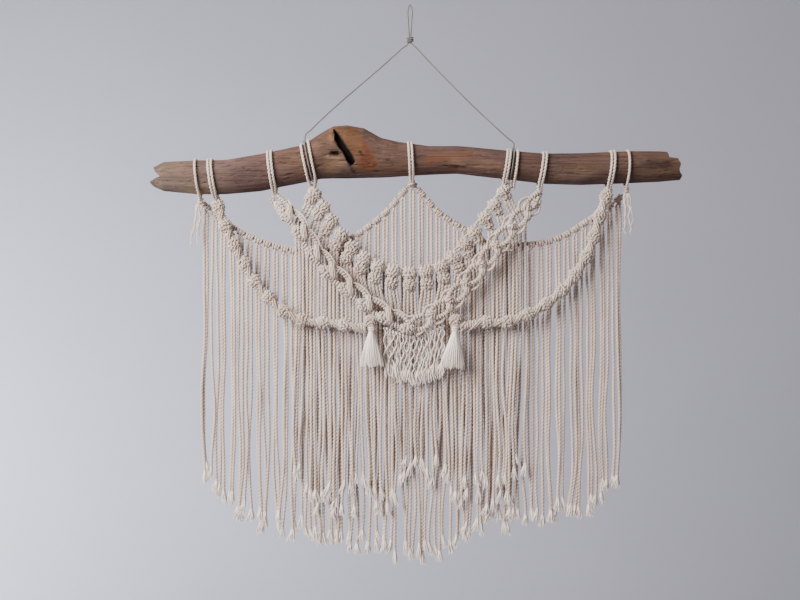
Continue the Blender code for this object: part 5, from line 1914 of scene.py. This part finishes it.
# ---- twine ----
@dataclass
class HangingTwine:
    """The twine over the nail, with its hitch and its ties round the branch."""

    step: float = 0.0016  # distance between two points of its line
    # From the wood to the middle of a tie's knot, beside half the twine
    stand: float = REST + 0.001
    # Half width and height of the eye over the hitch, at three levels
    eye: tuple[Row, ...] = ((TWINE_HALF, HITCH_Z), (TWINE_HALF * 1.6, -0.022),
                            (TWINE_HALF * 1.3, -0.0025))
    tie_points: int = 72  # points of one turn round the branch
    # Pitch, half width and half depth of the turns round both legs
    hitch_turns: Row = (0.0021, 0.0037, 0.0031)
    hitch_half: float = 0.003  # half the height of those turns
    # Pitch, half height and half depth of the turns of a tie's knot
    knot_turns: Row = (0.0019, 0.0014, 0.0011)
    knot_half: float = 0.0017  # half its length
    knot_cord: float = 0.0009  # radius of its cord

    def tie_top(self, loop: Loop) -> Array:
        """The knot on top of the branch where a leg of the twine is tied."""
        return Branch.point(loop.x_top, pi / 2, TWINE / 2 + self.stand)

    def route(self) -> Array:
        """The twine's middle line from its left tie over the nail to its right tie.

        Returns:
            The line's points.
        """
        above = vec(0.0, 0.0, TIE_KNOT * 0.7 + GAP)
        points = [self.tie_top(Loops.TIE_LEFT.value) + above]
        points += [(x, 0.0, z) for x, z in TWINE_ROUTE_LEFT]
        points += [(-x, 0.0, z) for x, z in self.eye]
        points.append((0.0, 0.0, TWINE / 2))
        points += [(x, 0.0, z) for x, z in self.eye[::-1]]
        points += [(x, 0.0, z) for x, z in TWINE_ROUTE_RIGHT]
        points.append(self.tie_top(Loops.TIE_RIGHT.value) + above)
        return smooth_line(points, self.step)

    def hang(self) -> Item:
        """Hangs the twine itself and returns it."""
        buffer = MeshBuffer()
        line = self.route()
        buffer.rope(line, TWINE / 2, lay=TWINE_LAY, steady=True)
        twine = buffer.build("twine", STRING, "hanging_twine")
        return twine

    def hitch(self) -> Item:
        """Ties the turns of twine that bind the two legs and returns them."""
        buffer = MeshBuffer()
        axis = np.array(((0.0, 0.0, HITCH_Z + self.hitch_half),
                         (0.0, 0.0, HITCH_Z - self.hitch_half)))
        buffer.rope(wound(axis, *self.hitch_turns, hint=RIGHTWARD, steps=16), TWINE / 2,
                    lay=TWINE_LAY, hint=(0.1, 0.2, 1.0))
        return buffer.build("twine_turns", STRING, "twine_hitch")

    def tie(self, which: Loops, node: str) -> Item:
        """Ties one leg round the branch.

        Args:
            which: where the branch is tied.
            node: the plain solid that the tie takes the place of.

        Returns:
            The tie.
        """
        buffer, loop = MeshBuffer(), which.value
        points = []
        for i in range(self.tie_points + 1):
            angle = pi / 2 + 2 * pi * i / self.tie_points
            lean = (1 - sin(angle)) / 2
            x = loop.x_top + (loop.x_bottom - loop.x_top) * lean
            points.append(Branch.point(x, angle, TWINE / 2 + REST))
        buffer.rope(np.array(points), TWINE / 2, lay=TWINE_LAY, hint=RIGHTWARD)
        top, half = self.tie_top(loop), vec(self.knot_half, 0.0, 0.0)
        turns = wound(np.array((top - half, top + half)), *self.knot_turns, hint=(0.0, 0.0, 1.0))
        buffer.rope(turns, self.knot_cord, lay=0.007, hint=ASLANT)
        return buffer.build(f"{node}_twine", STRING, node)

    def build(self) -> None:
        """Builds the twine, its hitch and its two ties."""
        self.hang()
        self.hitch()
        self.tie(Loops.TIE_LEFT, "twine_tie_left")
        self.tie(Loops.TIE_RIGHT, "twine_tie_right")


# ---- studio ----
class Lamp(NamedTuple):
    """A soft square light: where it stands, what it points at, its side, watts and colour."""

    name: str
    place: Row
    target: Row
    size: float
    power: float
    colour: Row


MIDDLE = (0.0, 0.0, -0.35)  # what most lamps point at


@dataclass
class Studio:
    """Camera, floor, backdrop and lights."""

    centre: Row = (-0.012, -0.354)  # what the camera looks at, x and z
    width: float = 0.96  # width of the view at the hanging
    distance: float = 1.45  # from the camera to the hanging
    floor_z: float = -1.5  # height of the floor
    wall_y: float = 2.4  # depth of the backdrop
    wall: Row = (0.455, 0.455, 0.515)  # colour of floor and backdrop
    bend: float = 0.6  # radius of the bend between them
    daylight: Row = (0.9, 0.88, 0.9)  # colour of the light from all round
    strength: float = 0.31  # strength of that light
    lamps: tuple[Lamp, ...] = (
        Lamp("window", (-0.98, -0.88, 0.25), MIDDLE, 1.0, 70.0, (1.0, 0.965, 0.93)),
        Lamp("room", (1.8, -2.4, 0.6), MIDDLE, 2.4, 8.0, (1.0, 0.97, 0.95)),
        Lamp("wall_wash", (-2.3, 1.0, -1.1), (-1.3, 2.4, -1.0), 1.2, 124.0, (0.93, 0.95, 1.0)),
        Lamp("back_fill", (0.9, 1.25, 0.45), MIDDLE, 1.0, 8.0, (1.0, 0.98, 0.96)),
    )

    def camera(self) -> None:
        """Sets the camera straight in front of the hanging."""
        data = bpy.data.cameras.new("camera")
        data.sensor_width = 36.0
        data.lens = 36.0 * self.distance / self.width
        data.clip_start, data.clip_end = 0.05, 30.0
        camera = shown(bpy.data.objects.new("camera", data))
        camera.location = (self.centre[0], -self.distance, self.centre[1])
        camera.rotation_euler = (pi / 2, 0.0, 0.0)
        bpy.context.scene.camera = camera

    def backdrop(self) -> None:
        """Lays the floor and bends it up into the backdrop."""
        rows = [(-4.0, self.floor_z)]
        for angle in pi / 2 * np.arange(13) / 12:
            rows.append((self.wall_y - self.bend + self.bend * sin(angle),
                         self.floor_z + self.bend - self.bend * cos(angle)))
        rows.append((self.wall_y, 3.5))
        points = [(x, y, z) for x in (-5.0, 5.0) for y, z in rows]
        count = len(rows)
        sheet = in_scene("backdrop", points, [(i, i + 1, count + i + 1, count + i)
                                              for i in range(count - 1)])
        sheet.data.shade_smooth()
        sheet.data.materials.append(MATERIALS.get(PaintFinish("pale_wall", self.wall)))

    @staticmethod
    def light(lamp: Lamp) -> None:
        """Adds a light.

        Args:
            lamp: the light.
        """
        data = bpy.data.lights.new(lamp.name, "AREA")
        data.size, data.energy, data.color = lamp.size, lamp.power, lamp.colour
        item = shown(bpy.data.objects.new(lamp.name, data))
        ahead = Vector(lamp.target) - Vector(lamp.place)
        item.matrix_world = (Matrix.Translation(lamp.place)
                             @ ahead.to_track_quat("-Z", "Y").to_matrix().to_4x4())

    def world(self) -> None:
        """Fills the shadows with pale daylight."""
        world = bpy.data.worlds.new("daylight")
        world.use_nodes = True
        background = world.node_tree.nodes["Background"]
        fill(background, {"Color": (*self.daylight, 1.0), "Strength": self.strength})
        bpy.context.scene.world = world

    def build(self) -> None:
        """Builds camera, backdrop and lights."""
        self.camera()
        self.backdrop()
        self.world()
        for lamp in self.lamps:
            self.light(lamp)


# ---- all pieces ----
def side_line(loop: Loops, bar: tuple) -> Array:
    """The carrying cord of a side fringe, from its loop along its bar."""
    start = loop.value.root + vec(0.0, 0.001, 0.0)
    return smooth_line([start] + [(x, BACK_Y, z) for x, z in bar], 0.001)


def peak_line() -> Array:
    """The carrying cord of the middle fringe, from its left end over the peak to its right.

    Returns:
        The cord's points.
    """
    left = flat_line(PEAK_BAR_LEFT, BACK_Y, 0.001)
    right = flat_line(PEAK_BAR_RIGHT, BACK_Y, 0.001)
    return np.concatenate((left[::-1], right))


def fringes() -> list[LarkHeadFringe]:
    """The three fringes behind the collar.

    Returns:
        The left, the right and the middle one.
    """
    left_tails = ((-0.002, -0.2624, -0.288), (0.0005, -0.2544, -0.288))
    right_tails = ((-0.0005, 0.2575, -0.275), (0.0025, 0.2664, -0.275))
    return [
        LarkHeadFringe("fringe_left", Loops.LEFT_OUTER, side_line(Loops.LEFT_OUTER, LEFT_BAR),
                       -0.2493, 29, 1, left_tails),
        LarkHeadFringe("fringe_right", Loops.RIGHT_OUTER,
                       side_line(Loops.RIGHT_OUTER, RIGHT_BAR), 0.1014, 30, 2, right_tails),
        LarkHeadFringe("fringe_peak", Loops.CENTRE, peak_line(), -0.0955, 37, 3),
    ]


def main() -> None:
    """Dresses the whole hanging, piece by piece."""
    logging.basicConfig(level=logging.INFO, format="%(name)s: %(message)s")
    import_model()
    Studio().build()
    HangingTwine().build()
    Branch().build()
    for fringe in fringes():
        fringe.build()
    Collar().build()
    LatticeGarland().build()
    SpiralBar("spiral_left", SPIRAL_LEFT, Loops.LEFT_SPIRAL, 1).build()
    SpiralBar("spiral_right", SPIRAL_RIGHT, Loops.RIGHT_SPIRAL, -1).build()
    Tassel("tassel_left", -0.046, -0.389, -0.433, 0.0008).build()
    Tassel("tassel_right", 0.0535, -0.389, -0.4355, -0.003).build()
    CentreFringe().build()


if __name__ == "__main__":
    main()
